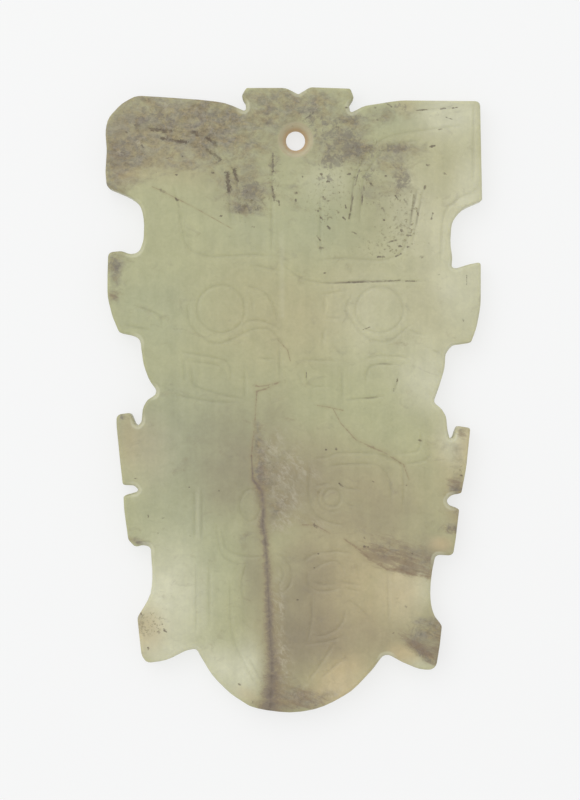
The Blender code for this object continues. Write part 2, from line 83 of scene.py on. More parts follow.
# Soft-edged patches of the stone: (x, y, half width, half height, strength, turn in degrees if any)
PATCHES = {
    # Altered skin, from the left horn over the crest to the right, then the edges, the vein and the jaw
    "hazed": [
        (-20.7, 39.6, 8.6, 5.2, 1), (-12, 39.4, 7, 4.4, 1, -10), (-24.6, 34.6, 3.8, 4.4, 0.95),
        (-14, 35.6, 5, 2.8, 0.6, -30), (-9.8, 31.6, 2.2, 4, 0.6), (-25.4, 31.6, 2.6, 1.4, 0.6),
        (-17, 34.6, 6, 2.2, 0.45), (-9.4, 40, 3.6, 3.6, 0.8), (-17, 43, 9, 1.6, 0.95, -3),
        (-0.5, 42.8, 8.6, 3, 0.95), (-6.3, 37, 2.6, 5, 0.6), (-6, 30, 2.8, 2, 1),
        (-7, 27.6, 3.4, 1.1, 0.9, -8), (-3, 33, 1.4, 4.4, 0.4), (-3.2, 39.6, 2.2, 3, 0.6),
        (5.5, 39, 4.6, 4, 0.6), (9.6, 40, 5, 1.4, 0.4, 12), (8.4, 35.6, 4.4, 2.6, 0.65),
        (4, 35.2, 3, 1.8, 0.5), (15.6, 36.2, 3, 1, 0.6), (16, 31.6, 1.5, 3, 0.6), (12.6, 32.6, 4.6, 4, 0.4),
        (0.8, 31, 2, 4, 0.4), (14.4, 41, 2.4, 1.2, 0.3), (11, 37, 5, 3, 0.3, -10),
        (17.4, 35.4, 3.4, 2.2, 0.3), (3.4, 42.6, 3, 1.6, 0.6), (-25.6, 19.4, 1.5, 2.8, 0.9),
        (-26, 15.6, 1, 2, 0.6), (24.3, -4.4, 1.4, 0.6, 0.6), (-24.6, -2.7, 0.8, 0.8, 0.5),
        (23.2, -12.4, 1.4, 1.6, 0.8), (22.6, -18.6, 1.8, 1, 0.8), (-22.3, -20.4, 2.4, 0.5, 0.8, -15),
        (23.6, -9.2, 0.8, 2.6, 0.3), (-5.2, -5.4, 0.8, 2.6, 0.8), (-2.8, -10.2, 1.8, 3.6, 0.55, -20),
        (-1.6, -15, 1.6, 2, 0.5), (-4.8, -9.4, 1.2, 3.2, 0.95), (-4.6, -12.4, 1.4, 1.8, 1),
        (-3, -15.6, 1.6, 2.6, 0.6), (15.4, -22.2, 6, 1.8, 0.8, -14), (18.8, -33, 3, 2.2, 0.7, -30),
        (20.8, -32.4, 1.6, 2.4, 0.6), (18.6, -36.2, 3, 0.9, 0.95, -38), (0.6, -43.2, 4.4, 1.9, 0.95, 4),
        (-4.6, -44, 1.4, 0.6, 0.5, -25), (-22.3, -32.6, 0.6, 2.2, 0.55), (24, -15.5, 1.2, 2.4, 0.5),
        (-2.6, -41, 1.6, 3, 0.85), (17, -24.6, 3, 0.8, 0.6, -14),
    ],
    # Dark flakes of it
    "flaked": [
        (-21, 40, 5, 2.4, 0.55), (-25, 35.6, 1.8, 3.4, 0.6), (-11, 39.6, 3.6, 2, 0.5, -20),
        (-6.2, 30.2, 2.2, 1.5, 1), (-6.8, 27.5, 3.2, 0.9, 0.9, -8), (-2.9, 33.6, 1, 2.6, 0.7),
        (1, 42.6, 4.4, 1.8, 0.5), (4.9, 38.6, 3.6, 2.6, 0.6), (5.2, 34.2, 2, 1.7, 1),
        (4.6, 31.4, 1.8, 1.2, 0.7), (9, 35.8, 3.6, 1.6, 0.85), (9.8, 41, 4, 1, 0.6, 12),
        (14.8, 36.3, 2.6, 0.8, 0.9), (15.6, 42, 1, 1, 0.9), (15.6, 31.6, 1.6, 2.2, 0.9),
        (11, 32.2, 2, 1.4, 0.75), (14.8, 34, 2, 1, 0.5), (-25.8, 19.4, 1.2, 2.4, 0.8),
        (23.6, -13, 1, 0.9, 0.9), (23, -18.8, 1.3, 0.7, 0.9), (-24.7, -2.5, 0.6, 0.6, 0.9),
        (-22.3, -20.5, 2, 0.4, 0.9, -15), (18.8, -36.8, 2.2, 0.6, 0.8, -38), (0.4, -43.8, 3.8, 1, 0.75, 4),
        (-17, 41, 7, 1.4, 0.5, -3), (-22, 36.6, 4, 1.6, 0.4), (7.4, 38, 3, 3, 0.5),
        (7.8, 37, 2, 1.2, 0.75, -20), (-4.7, -11, 1.1, 3.2, 0.7), (2.6, 40.2, 2, 1.6, 0.5),
        (13.4, 29.6, 2.6, 1.6, 0.5), (3.6, 28.6, 1.4, 1, 0.5), (-0.4, 36, 1.4, 1.4, 0.4),
    ],
    "specked": [
        (8.6, 31, 7, 6, 0.75), (15.6, 27, 4, 5, 0.85), (14, 22.6, 5.6, 2.8, 0.85), (4, 27.4, 3, 5, 0.7),
        (-2.6, 31.6, 1.6, 5, 0.9), (-7, 28.4, 4, 3, 1), (4, 22, 2.4, 1.2, 0.6), (10, 21.4, 9, 1, 0.5),
        (8, 36.6, 6, 3, 0.6), (-19, 38, 8, 5, 0.7), (-8.6, 33.6, 2.4, 4, 0.6), (0.4, 28.8, 1.4, 2.4, 0.6),
        (12, 37.6, 8, 4, 0.35), (18.6, 33.6, 3.6, 3, 0.45), (-21, -32.4, 3.2, 2.8, 1),
        (-3.6, -10.6, 2.4, 6.4, 0.8), (23.6, -9.8, 1.4, 1.8, 0.8), (18.6, -4, 2, 3, 0.4),
        (4.4, -18.6, 3, 1, 0.7, -20), (-18, -18.4, 6, 4, 0.3), (0, 42.4, 8, 2.4, 0.3),
        (20, 41.4, 4, 1.2, 0.5), (21.6, 20.6, 3.6, 3, 0.3), (-12, -14, 6, 4, 0.25),
        (1.2, -43.2, 4.2, 1.4, 0.8, 4), (-3.4, -34, 1, 8, 0.8),
    ],
    # Iron stains
    "stained": [
        (12, -22.4, 3.6, 1.2, 0.8, -28), (16, -22.8, 4.4, 1.8, 0.8, -12), (17, -24.4, 3.4, 0.8, 0.9, -14),
        (18.2, -36, 3.2, 1, 1, -38), (20.7, -36.4, 0.9, 1.4, 0.9, 20), (23, -12.2, 1.6, 1.4, 0.5),
        (22.6, -18.6, 1.6, 0.8, 0.6, -10), (24.2, -5, 0.9, 0.7, 0.8), (-25.9, 15, 0.8, 1, 0.6),
        (0.8, -43.4, 4.4, 1.7, 0.65, 4), (-2.4, -41.6, 1.6, 2.8, 0.5), (14.6, -20.4, 4, 0.8, 0.5, -14),
        (-4.6, -11.4, 1.1, 2.6, 0.6), (-4.4, -6.6, 0.8, 2.4, 0.4), (13.6, -23.4, 4.4, 0.9, 1, -22),
        (21, -34, 1, 2.6, 0.5, 10), (-25.4, 34.4, 1.6, 3.4, 0.3), (-5.2, -44, 1.2, 0.5, 0.5, -20),
        (-22.3, -32.8, 0.6, 2, 0.3), (17.2, -35.2, 2.4, 0.6, 0.9, -38), (18.4, -24.6, 2.2, 0.6, 1, -14),
    ],
    # Milky cloud beside the vein
    "clouded": [
        (-3.2, -6.8, 1.4, 3, 0.7, -30), (-1.4, -10.4, 2.2, 4.2, 0.7, -30), (-0.8, -14.6, 2.2, 3.2, 0.65),
        (-1.6, -17.8, 2, 1.1, 0.8, 20), (1.6, -10.2, 2.4, 1.1, 0.5, -30), (-2.4, -30, 1.1, 4.4, 0.9),
        (-1.6, -37.4, 1.3, 4.2, 1, 8), (2.6, -17.6, 2.6, 0.7, 0.5, -18), (0.6, -42.6, 3.4, 1.4, 0.4, 8),
        (5.6, -42.3, 1.4, 0.7, 0.8, 25),
    ],
    # Tones of the sound stone, with painted light and shade: the light patches are painted glow where the
    # stone looks thin and well lit, the amber ones iron-warmed tan with painted glow, and the dark ones
    # painted shade where less light comes back
    "warm": [
        (22, 24, 8, 26, 0.45), (9, -31, 14, 11, 0.8), (5.4, -40, 5, 3, 0.6, 20), (21, -21, 1.8, 1.2, 1),
        (-20.4, -34, 2.6, 3.4, 0.7), (-21.5, -7.4, 3.2, 5.2, 0.5), (-3, 12, 12, 10, 0.4),
        (10, 14, 10, 8, 0.3), (-20, 38, 9, 6, 0.5), (22.6, -8, 3, 5, 0.6), (-17.5, 33, 8, 2.5, 0.3, -10),
        (14.6, -29, 4, 4, 0.5), (4, -12, 8, 8, 0.5), (8, -22, 10, 8, 0.7), (14, -14, 8, 6, 0.5),
        (23.6, -15, 2.2, 4.4, 0.9), (0, -37, 4, 5, 0.6),
    ],
    "cool": [
        (-15.5, -5.5, 9, 9, 0.7), (-19.5, 12.5, 6, 6, 0.4), (16.5, 40.6, 7, 2.4, 0.5), (-4, 24, 7, 4, 0.3),
        (-13, -25, 6, 8, 0.3), (4, 24.5, 5, 6, 0.35), (-17, -16, 7, 7, 0.4), (6, -27, 3, 3, 0.4),
    ],
    # Iron-warmed tan, with painted glow where light comes through
    "amber": [
        (15.4, -27, 3, 4.6, 0.7), (21.2, -20.7, 1.4, 1, 0.55), (15.8, -36.6, 2.2, 1.4, 0.9, -20),
        (7, -39.8, 4, 2.6, 0.8, 30), (-21, -33, 2.4, 3.2, 0.6), (-6.6, -42.6, 2.2, 1, 0.5, -30),
        (9, -32, 6, 8, 0.25), (5.2, -42.4, 4, 1.6, 0.7, 10), (25, -6, 1.6, 4, 0.4), (-24, -6, 1.6, 5, 0.3),
        (-24, 32.4, 2.4, 1.2, 0.5), (16, 42.2, 1.6, 1.2, 0.3),
    ],
    # Painted glow where the stone looks thin and well lit
    "light": [
        (-17.6, -29, 5.6, 9.5, 1), (23, -5.5, 2.6, 4, 0.6), (17.6, -37.8, 3.4, 0.9, 0.6, -15),
        (15.6, -27.6, 3, 4.6, 0.5), (24.8, 19, 5.4, 10, 1), (23, 41, 5, 4.4, 0.9), (19.6, 3.6, 4.8, 6, 0.7),
        (-19.5, -35, 3, 2.6, 0.8), (7, -40.8, 3, 1.5, 0.6, 35), (-10.6, -38.6, 4.4, 3.4, 1, -40),
        (20.8, -20.8, 1.4, 1, 0.2), (-20.6, -8, 4, 6, 0.3), (12, 12, 7, 8, 0.4), (18, 26, 5, 10, 0.4),
        (-6.4, -38.6, 2.6, 4.4, 0.8), (25.6, 30, 3, 9, 0.7), (-17.4, -36.4, 3, 2, 0.7),
        (-7.6, -41.2, 2.6, 2, 0.8, -30), (5.8, -42.3, 1.2, 0.7, 0.9, 25), (25, 14.6, 3, 5, 0.6),
        (17.6, -27, 3.6, 3, 0.6), (4.4, 31.6, 3.6, 3, 0.4),
    ],
    # Painted shade where less light comes back
    "dark": [
        (-12, -7, 12, 9, 0.3), (12, -14, 8, 6, 0.3), (-3, -12.6, 3.4, 5, 0.5), (21.6, -24, 3, 3, 0.3),
        (19.5, -21.6, 3.5, 2.5, 0.35), (-0.6, -37, 3, 4.6, 0.6), (20.6, -35, 2, 2.6, 0.5),
        (23.8, -14.6, 1.8, 3.6, 0.3), (-2.6, -12.2, 3.4, 3.6, 0.9), (-2.4, -42.6, 2.4, 2.4, 0.7),
        (1.6, -43.4, 3.4, 1.6, 0.8, 6), (18.8, -35.8, 3.2, 1.4, 0.7, -38), (-9, -9.5, 5, 9, 0.6),
        (-5.8, -24, 2, 9, 0.6), (5, -34, 8, 5, 0.8), (2, -12, 6, 7, 0.5), (-25, 36, 2, 7, 0.5),
        (13, -17.6, 7, 3.4, 0.35), (2, -26, 6, 6, 0.6), (13, -34, 4, 4, 0.3), (-2, -34, 2, 8, 0.4),
        (10.6, 28.6, 6, 7, 0.15), (-8, 30, 6, 4, 0.25), (2, 36, 6, 3, 0.2), (-2.6, -4, 3, 6, 0.4),
        (-4.4, -17, 2, 3, 0.5), (17.6, -22.4, 4, 1.6, 0.4, -14), (20.4, -32.6, 2, 3, 0.4),
        (-23.4, -6, 3, 3, 0.3), (-2.2, -14.6, 2.4, 3.4, 0.5),
    ],
    # Where soil has stayed in the carved lines
    "soiled": [
        (-9, 31, 1.9, 2.8, 0.5), (-2.8, 33.4, 0.9, 3.2, 0.5), (8.8, 29.8, 1.6, 4, 0.6),
        (17, 28, 1.6, 4.4, 0.7, 10), (9.2, 17, 6, 0.5, 0.8), (25, 17, 0.8, 2, 0.6),
        (13.2, 5.2, 1.8, 0.5, 0.6), (15, 2.6, 0.7, 1.6, 0.4), (11, 0.4, 2.2, 0.5, 0.7),
        (2.2, 3.4, 0.7, 1.2, 0.4), (10, 21, 8, 1, 0.3), (-4, 6, 1.5, 0.4, 0.4),
    ],
}

# Flaws and other long marks: paths of (x, y, half width)
STREAKS = [
    [(-13.8, -12.9, 0.6), (-13.8, -19.8, 0.6)], [(-13, -24.2, 0.6), (-13, -32.6, 0.6)],
    [(-1.7, 24, 0.6), (-1.7, 12, 0.6)],
]
VEIN = [
    (-6.1, -8, 0.06), (-5.9, -11.5, 0.12), (-4.6, -13.2, 0.2), (-4.4, -15.9, 0.24), (-4.5, -18.2, 0.28),
    (-4.2, -19.6, 0.26), (-3.9, -22.9, 0.25), (-3.7, -27.1, 0.28), (-3.6, -30.2, 0.34), (-3.4, -34, 0.4),
    (-3.1, -38, 0.48), (-3.3, -41, 0.6), (-3.4, -45.2, 0.85),
]
CRACKS = [
    [(-5.3, 1.3, 0.08), (-5.5, -1.2, 0.07), (-5.6, -3.5, 0.09), (-5.9, -5.8, 0.1), (-6.1, -8.1, 0.12)],
    [(-5.5, 2, 0.15), (-4.4, 2, 0.1), (-3.2, 2.2, 0.12), (-2, 2.6, 0.06)],
    [(-5.4, 1.2, 0.12), (-4.3, 1.5, 0.1), (-3.4, 1.9, 0.12), (-2.4, 2.4, 0.08)],
    [(-20.4, 30.7, 0.04), (-19, 30.1, 0.08), (-16.9, 29, 0.08), (-14.5, 27.8, 0.05), (-9, 24.7, 0.04)],
    [(5.6, -1.2, 0.04), (6.8, -3.4, 0.06), (9, -5.8, 0.1), (10.8, -6.6, 0.13), (13, -7.6, 0.13),
     (15.8, -9.3, 0.1), (16.6, -11.5, 0.04)],
    [(3.4, -0.8, 0.06), (5.2, -1.1, 0.12), (7.1, -1.5, 0.06)],
    [(7.2, -20, 0.08), (9.8, -21.8, 0.2), (11.2, -23.2, 0.22), (12.4, -23.6, 0.18), (13.4, -24.4, 0.2),
     (15.2, -24.4, 0.16), (16.6, -25, 0.2), (19.6, -25.5, 0.22)],
    [(1.2, -18, 0.06), (3, -18, 0.12), (5.2, -19.2, 0.06)],
    [(-2.3, 8.6, 0.04), (-0.9, 7.2, 0.06), (-0.5, 5.6, 0.04)],
]

# Dark soil pressed into scratches, pits and lines, and one painted shadow on the cord hole's upper-left
# wall: (x, y) at both ends, then half width.
SOIL_AND_SHADOW_MARKS = [
    # left horn
    (-20.6, 39, -17.7, 38.6, 0.32), (-19, 37.6, -15.5, 37.1, 0.32), (-14.5, 38.5, -13.8, 38.1, 0.36),
    (-12.4, 37.7, -11.3, 36.8, 0.38), (-12.5, 36, -11.5, 35.4, 0.3), (-11.5, 35.4, -10.6, 34.5, 0.34),
    # The first mark on the next line is no soil but painted shadow on the cord hole's upper-left wall
    (-1.1, 38.7, 0, 39.3, 0.24), (-9.6, 32.8, -9.3, 30.1, 0.38), (-8.6, 33.2, -8.2, 31.7, 0.34),
    (-22.9, 39.6, -22.8, 39.6, 0.14), (-24.2, 38.6, -24, 38.5, 0.16), (-21.9, 36.7, -21.7, 36.4, 0.2),
    (-18.4, 34.8, -18.1, 34.8, 0.14), (-16.1, 35.1, -16, 35, 0.14), (-14.1, 33.5, -13.9, 33.5, 0.14),
    (-11.9, 32.8, -11.6, 32.7, 0.16), (-19.8, 32.8, -19.8, 32.8, 0.12), (-17, 32.4, -16.8, 32.4, 0.14),
    (-10.6, 26.5, -10.4, 26.5, 0.16), (-6, 24.9, -5.7, 24.9, 0.14), (-19.2, 30.2, -18.6, 29.9, 0.2),
    (-17, 29, -16.7, 28.8, 0.18),
    # cap beside its middle
    (-3, 35.5, -3, 32.8, 0.16), (-3.1, 30.8, -2.8, 28.8, 0.22), (-2.2, 28.6, -2.1, 28.1, 0.2),
    (0.2, 29.8, 0.4, 29.8, 0.2), (0.3, 28.9, 0.3, 28.6, 0.16), (1.2, 32.2, 1.3, 32.1, 0.14),
    # right horn and its top edge
    (9.4, 33.1, 8.8, 30.9, 0.13), (8.5, 29.2, 8.2, 27.3, 0.15), (10.1, 30.8, 10.1, 30.2, 0.14),
    (9.9, 29.5, 9.8, 28.1, 0.13), (8.1, 26.8, 8, 26.2, 0.16), (17.3, 29.5, 17, 27.2, 0.17),
    (18.9, 30.8, 18.8, 30.4, 0.2), (17.7, 27.2, 17.9, 26.6, 0.14), (20, 27, 19.8, 25.9, 0.13),
    (1.3, 40.2, 2.8, 41.3, 0.14), (6.1, 39.3, 6.4, 39.3, 0.16), (7.4, 42.1, 7.7, 42.1, 0.16),
    (11.6, 42.1, 11.8, 42.1, 0.14), (12, 40.4, 12.1, 40.3, 0.16), (17.6, 41.7, 19.3, 41.8, 0.1),
    (21.1, 41.9, 21.9, 42, 0.13), (22.8, 42, 23.5, 42.1, 0.11), (21.9, 40.7, 22.8, 40.4, 0.09),
    (20.8, 38.9, 21.3, 39, 0.12), (19.6, 36.4, 20.3, 36.6, 0.17), (13, 43, 14.1, 42.2, 0.12),
    # flecks between the horns and the brow
    (3.8, 32.5, 4.1, 32.5, 0.16), (4.8, 31.5, 5.1, 31.4, 0.2), (7.8, 32.5, 8.1, 32.5, 0.16),
    (8.7, 32.1, 9, 31.9, 0.16), (11, 31.2, 11.3, 30.9, 0.2), (13.2, 32.2, 13.4, 32.2, 0.16),
    (19.2, 33.8, 19.5, 33.8, 0.14), (21.5, 32.7, 21.9, 32.5, 0.14), (4.2, 29.2, 4.5, 28.9, 0.2),
    (5.6, 29.8, 5.9, 29.7, 0.15), (3.2, 27.3, 3.5, 27.2, 0.16), (3.8, 26.3, 4.1, 26, 0.2),
    (4.9, 25, 5.2, 24.7, 0.2), (7.1, 26.3, 7.4, 26, 0.16), (12.7, 27.6, 13, 27.3, 0.2),
    (12.9, 26, 13.1, 25.8, 0.15), (15.4, 24.5, 15.7, 24.2, 0.2), (16.3, 23.7, 16.9, 23.7, 0.15),
    (15.2, 22.2, 15.6, 22, 0.16), (16.4, 22, 16.7, 22, 0.14), (3.8, 21.9, 4.1, 21.8, 0.2),
    (12.1, 20.6, 13, 20.6, 0.16), (14.7, 20.7, 15.4, 21, 0.17), (18.3, 20.6, 18.6, 20.6, 0.24),
    (4.4, 18.3, 4.6, 18.3, 0.14), (3.3, 23.6, 3.8, 23, 0.13), (7.4, 28.1, 7.5, 27.6, 0.13),
    (15.9, 28.8, 16.3, 28.3, 0.16), (14.6, 29.4, 15, 28.9, 0.13), (13.3, 22.6, 14.7, 23, 0.12),
    (8.4, 24.2, 9, 23.9, 0.12), (20.8, 18, 21, 18, 0.12),
    # brow, ear, eye and cheek
    (7.4, 16.9, 11.7, 17, 0.13), (13.1, 17.1, 15.3, 17.2, 0.12), (16, 17.1, 17.7, 17.1, 0.1),
    (24.9, 18, 24.9, 16.5, 0.1), (24.4, 11.6, 24.4, 11.4, 0.14), (10, 10.1, 11, 10.5, 0.09),
    (1.8, 4, 1.8, 3.1, 0.09), (14.9, 3, 14.9, 2.7, 0.14), (14.4, 1.6, 14.4, 1.3, 0.12),
    # whiskers, mouth, jaw and tusks
    (6.1, -7.1, 6.2, -7.2, 0.2), (4.6, -7.2, 4.7, -7.2, 0.13), (18, -5.8, 18.3, -5.9, 0.16),
    (6.5, -12, 7.1, -12.5, 0.12), (11.3, -11.7, 11.6, -11.8, 0.13), (2.9, -17.9, 3.3, -18.3, 0.22),
    (16.2, -12.3, 16.3, -12.3, 0.12), (23.9, -10, 23.9, -10.1, 0.2), (24, -10.8, 24.2, -11, 0.2),
    (10.1, -19.8, 10.3, -20, 0.15), (10.1, -21, 10.7, -21.2, 0.2), (17, -22.1, 17.2, -22.2, 0.13),
    (2.8, -24.2, 3, -24.2, 0.13), (3.4, -22.2, 3.6, -22.2, 0.12), (0.5, -28.8, 0.6, -28.8, 0.13),
    (16, -29.7, 16.3, -29.8, 0.15), (14.2, -33.6, 14.4, -33.6, 0.13), (-22.9, -11.3, -22.6, -11.3, 0.13),
    (-21, -16.6, -21, -16.9, 0.14), (-19, -17, -18.7, -17, 0.12), (-19.6, -19.2, -19.5, -19.2, 0.12),
    (-14.9, -19.6, -14.9, -19.6, 0.13), (-10.8, -13.1, -10.7, -13.1, 0.12), (-15.1, -12.6, -15, -12.6, 0.1),
    (-22, -30.7, -22, -30.9, 0.15), (-21.6, -33.7, -21.6, -33.9, 0.18), (-19.7, -33.3, -19.4, -33.5, 0.18),
    (-18.7, -33.1, -18.4, -33.4, 0.18), (-19, -32.3, -18.9, -32.3, 0.12), (-21, -35.7, -21, -36, 0.18),
    (-7.9, -40.9, -7.7, -41, 0.15), (-6, -43.4, -5.9, -43.5, 0.15),
]

# How patterns are drawn out: slope in degrees, scales along x and y, and how they act
DIRECTIONS = {
    "upright": (0, 1, 0.07, "POINT"), "spread": (5, 0.75, 1, "POINT"), "slanted": (-50, 1.8, 1, "TEXTURE"),
    "level": (-5, 1.3, 1, "TEXTURE"), "streaky": (-20, 4, 1, "TEXTURE"), "feathered": (0, 0.8, 1, "POINT"),
}
# Patterns in the stone: direction, size in millimetres, detail, roughness and twist
PATTERNS = {
    "tone": ("even", 9, 3, 0.5, 0), "clouds": ("even", 2.6, 5, 0.62, 0.6),
    "bands": ("upright", 1.3, 3, 0.6, 0), "grain": ("even", 0.45, 5, 0.7, 0),
    "ochre": ("spread", 1, 7, 0.7, 1), "grey": ("spread", 1.4, 7, 0.7, 0.7),
    "mottle": ("spread", 0.5, 7, 0.74, 0.5), "drift": ("spread", 2.4, 7, 0.66, 0.8),
    "flakes": ("even", 1.05, 8, 0.79, 0.4), "crust": ("level", 1.1, 8, 0.72, 0.4),
    "specks": ("even", 0.4, 8, 0.68, 0.4), "spots": ("even", 0.8, 8, 0.68, 0.4),
    "stains": ("streaky", 0.7, 8, 0.76, 0.4), "milk": ("slanted", 0.8, 6, 0.7, 0.7),
    "gaps": ("even", 2.2, 4, 0.6, 0.8), "crumbs": ("slanted", 0.75, 7, 0.78, 0.9),
    "feather": ("feathered", 1.1, 8, 0.8, 0.9), "lumps": ("even", 0.9, 3, 0.6, 0),
    "ragged": ("even", 0.36, 5, 0.7, 0), "grit": ("even", 0.35, 4, 0.6, 0),
}
# Patterns and marks turned to the range in which they act: result, source, how, from what and to what
RANGES = (
    ("haze", "spreading", "LINEAR", 0.57, 0.98, 0, 1), ("dull", "haze", "LINEAR", 0, 1, 0.42, 0.62),
    ("rough", "haze", "LINEAR", 0, 1, 0.12, 0.55), ("tone", "tone", "LINEAR", 0.35, 0.65, 0.75, 1.25),
    ("clouds", "clouds", "LINEAR", 0.3, 0.7, 0.93, 1.06),
    ("bands", "bands", "LINEAR", 0.3, 0.7, 0.965, 1.03),
    ("grain", "grain", "LINEAR", 0.3, 0.7, 0.955, 1.045),
    ("ochre", "ochre", "SMOOTHSTEP", 0.42, 0.64, 0, 0.85),
    ("grey", "grey", "SMOOTHSTEP", 0.42, 0.6, 0, 0.9),
    ("mottle", "mottle", "SMOOTHSTEP", 0.32, 0.68, 0.72, 1.24),
    ("milk", "milk", "LINEAR", 0.46, 0.64, 0, 1), ("gaps", "gaps", "LINEAR", 0.36, 0.56, 0.15, 0.6),
    ("crumbs", "crumbs", "SMOOTHSTEP", 0.5, 0.6, 0, 0.5),
    ("feather", "feather", "LINEAR", 0, 1, -0.5, 0.5),
    ("ragged", "ragged", "LINEAR", 0.3, 0.7, -0.8, 0.8),
    ("worn", "lumps", "LINEAR", 0.36, 0.58, 0.28, 0.76), ("near", "edge", "SMOOTHSTEP", 0.7, 1.2, 0.5, 0),
    ("wide", "bevel", "LINEAR", 0.4, 0.58, 0, 1), ("streak", "streak", "SMOOTHSTEP", 0, 1, 0.18, 0),
    ("outer", "bore", "SMOOTHSTEP", 1.55, 2.1, 0, 0.7),
    ("turned", "bore", "SMOOTHSTEP", HOLE_MOUTH - 0.1, HOLE_MOUTH + 0.35, 0.85, 0),
)

# How a patch fades from its middle, how far off a flaw still counts, in its half widths, and the shares of
# the height from which a point is on the face, a little and wholly
PATCH_FADE = 1.1
PATCH_EDGE = 1.3
FAR = 9.0
FACE_SHARES = (0.75, 0.9)

# The cord hole, in millimetres: steps out and down at its worn mouth, how far in and down the drilled cone
# starts, shares of the way up the cone, and the wear of its waist
HOLE_SIDES = 96
MOUTH_WEAR = ((0.3, 0), (0.14, 0.03), (0, 0.12))
CONE_START = (0.06, 0.18)
CONE_SHARES = (1, 0.8, 0.6, 0.4, 0.2, 0.08)
WAIST_WEAR = 0.02

# How the mesh follows the shape, in millimetres
ROW_OFFSETS = (0.09, 0.18, 0.3, 0.48)
MOUTH_ROWS = (0, 0.2, 0.5)
MOUTH_CLEARANCE = 0.6
LINE_GAP = 0.055
BEND_REACH = 1.4
TINY = 1e-6

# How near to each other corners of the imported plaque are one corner, and heights one level, in metres
JOIN_DISTANCE = 0.002 * MM
LEVEL_TOLERANCE = 0.01 * MM

# Rows beside the outline in widths of the worn edge, the share of its inset that a row has to keep, how
# many widths the lines' points stay off, and the gap around filling points in steps
RIM_SHARES = (0.05, 0.18, 0.38, 0.65, 1, 1.6)
ROW_KEPT = 0.93
RIM_CLEARANCE = 1.7
FILL_GAP = 0.55

# The bend in radians that makes a notch, what it is raised by after smoothing, and the side wall's rows
NOTCH_BEND = 0.9
NOTCH_GAIN = 1.6
SIDE_ROWS = 9

# The stage: white light, the table's side and its gap under the stone, and the soft lamp's place, in metres
WHITE = (1.0, 1.0, 1.0, 1.0)
TABLE_SIDE = 4.0
TABLE_GAP = 0.02 * MM
LAMP_PLACE = (-0.25, 0.3)


def linear(code):
    """An sRGB hex colour as linear red, green and blue."""
    shares = [int(code[i:i + 2], 16) / 255 for i in (1, 3, 5)]
    return [s / 12.92 if s <= 0.04045 else ((s + 0.055) / 1.055) ** 2.4 for s in shares]


def number(name, description, default, least=0.0, unit="NONE"):
    """A number that a user may change."""
    return bpy.props.FloatProperty(
        name=name, description=description, default=default, min=least, unit=unit)


def length(name, description, default, least=0.0):
    """A length in metres that a user may change."""
    return number(name, description, default, least, "LENGTH")


def colour(name, description, code):
    """A colour that a user may change."""
    return bpy.props.FloatVectorProperty(
        name=name, description=description, default=linear(code), min=0.0, max=1.0, subtype="COLOR")


class StoneSettings(bpy.types.PropertyGroup):
    """Sizes of the worn stone."""
    edge_rounding: length("Edge rounding", "How far wear has rounded the outer edges", 0.34 * MM)
    notch_bevel: length("Notch bevel", "How wide the edge is ground inside the notches", 0.62 * MM)
    groove_width: length("Line width", "How wide a carved line is at the face", 0.72 * MM)
    groove_depth: length("Line depth", "How deep a carved line is left by wear", 0.07 * MM)
    swell_height: length("Face swell", "How far the hand-ground face rises and falls", 0.05 * MM)
    swell_size: length("Swell size", "How far apart the face's rises are", 14 * MM)
    outline_step: length("Outline step", "Spacing of the mesh along the outline", 0.26 * MM)
    line_step: length("Line step", "Spacing of the mesh along the carved lines", 0.22 * MM)
    face_step: length("Face step", "Spacing of the mesh on the open face", 0.44 * MM)
    back_step: length("Back step", "Spacing of the mesh on the plain back", 1.1 * MM)


class ColourSettings(bpy.types.PropertyGroup):
    """Colours of the stone, of what has changed it, and of painted glow and shade."""
    green: colour("Cool stone", "Grey-green of the sound stone", "#A1A68A")
    body: colour("Stone", "Pale yellow-green of most of the stone", "#AFAF89")
    straw: colour("Warm stone", "Straw yellow where iron has warmed the stone", "#B2A782")
    amber: colour("Amber glow", "Tan places where light glows through iron-warmed stone", "#C3B189")
    pale: colour("Light stone", "Thin and well-lit places", "#CCCBB0")
    olive: colour("Dark stone", "Deeper places where less light comes back", "#8B816A")
    brown: colour("Weathered brown", "Altered skin of the stone", "#887B63")
    grey: colour("Weathered grey", "Cool grey spots of the altered skin", "#868075")
    ochre: colour("Ochre", "Yellow-brown between the altered spots", "#998C69")
    chalk: colour("Chalk", "Whitish flecks of the altered skin", "#BEB6A3")
    slate: colour("Flakes", "Dark grey-brown flakes of the altered skin", "#766F65")
    speck: colour("Specks", "Small olive-brown specks in the skin", "#6A6046")
    umber: colour("Stain", "Purplish brown of iron that has stained the stone", "#7F6B58")
    plum: colour("Vein", "Grey-purple of the natural vein", "#796F65")
    rust: colour("Crack", "Red-brown of the fine cracks", "#826C54")
    # Also the painted shadow on the cord hole's upper-left wall
    soil: colour("Soil", "Dark soil left in the lines and pits", "#55463B")
    shadow: colour("Carved lines", "Stone where less light comes back from a carved line", "#7F7B5F")
    bore: colour("Bore", "Rusty drilled surface of the cord hole", "#CDB28C")


class StageSettings(bpy.types.PropertyGroup):
    """Camera, light and table."""
    view_height: length("View height", "Real height of what the camera sees at the carved face", 115.2 * MM)
    view_x: length("View X", "Where the camera looks", -0.55 * MM, -1.0)
    view_y: length("View Y", "Where the camera looks", -0.02 * MM, -1.0)
    lens: number("Lens", "Focal length in millimetres", 120.0, 10.0)
    lamp_size: length("Lamp size", "Side of the soft lamp over the table", 0.9)
    lamp_height: length("Lamp height", "Height of the soft lamp", 0.8)
    lamp_power: number("Lamp power", "Watts of the soft lamp", 3.4)
    air_light: number("Air light", "Light from all around", 0.72)
    table: colour("Table", "Opal white of the table", "#7E7F7F")
    table_glow: number("Table glow", "Light through the table", 0.7)


def joined_shape(node):
    """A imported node's shape with its loose triangles joined."""
    shape = bmesh.new()
    shape.from_mesh(node.data)
    bmesh.ops.remove_doubles(shape, verts=shape.verts[:], dist=JOIN_DISTANCE)
    return shape


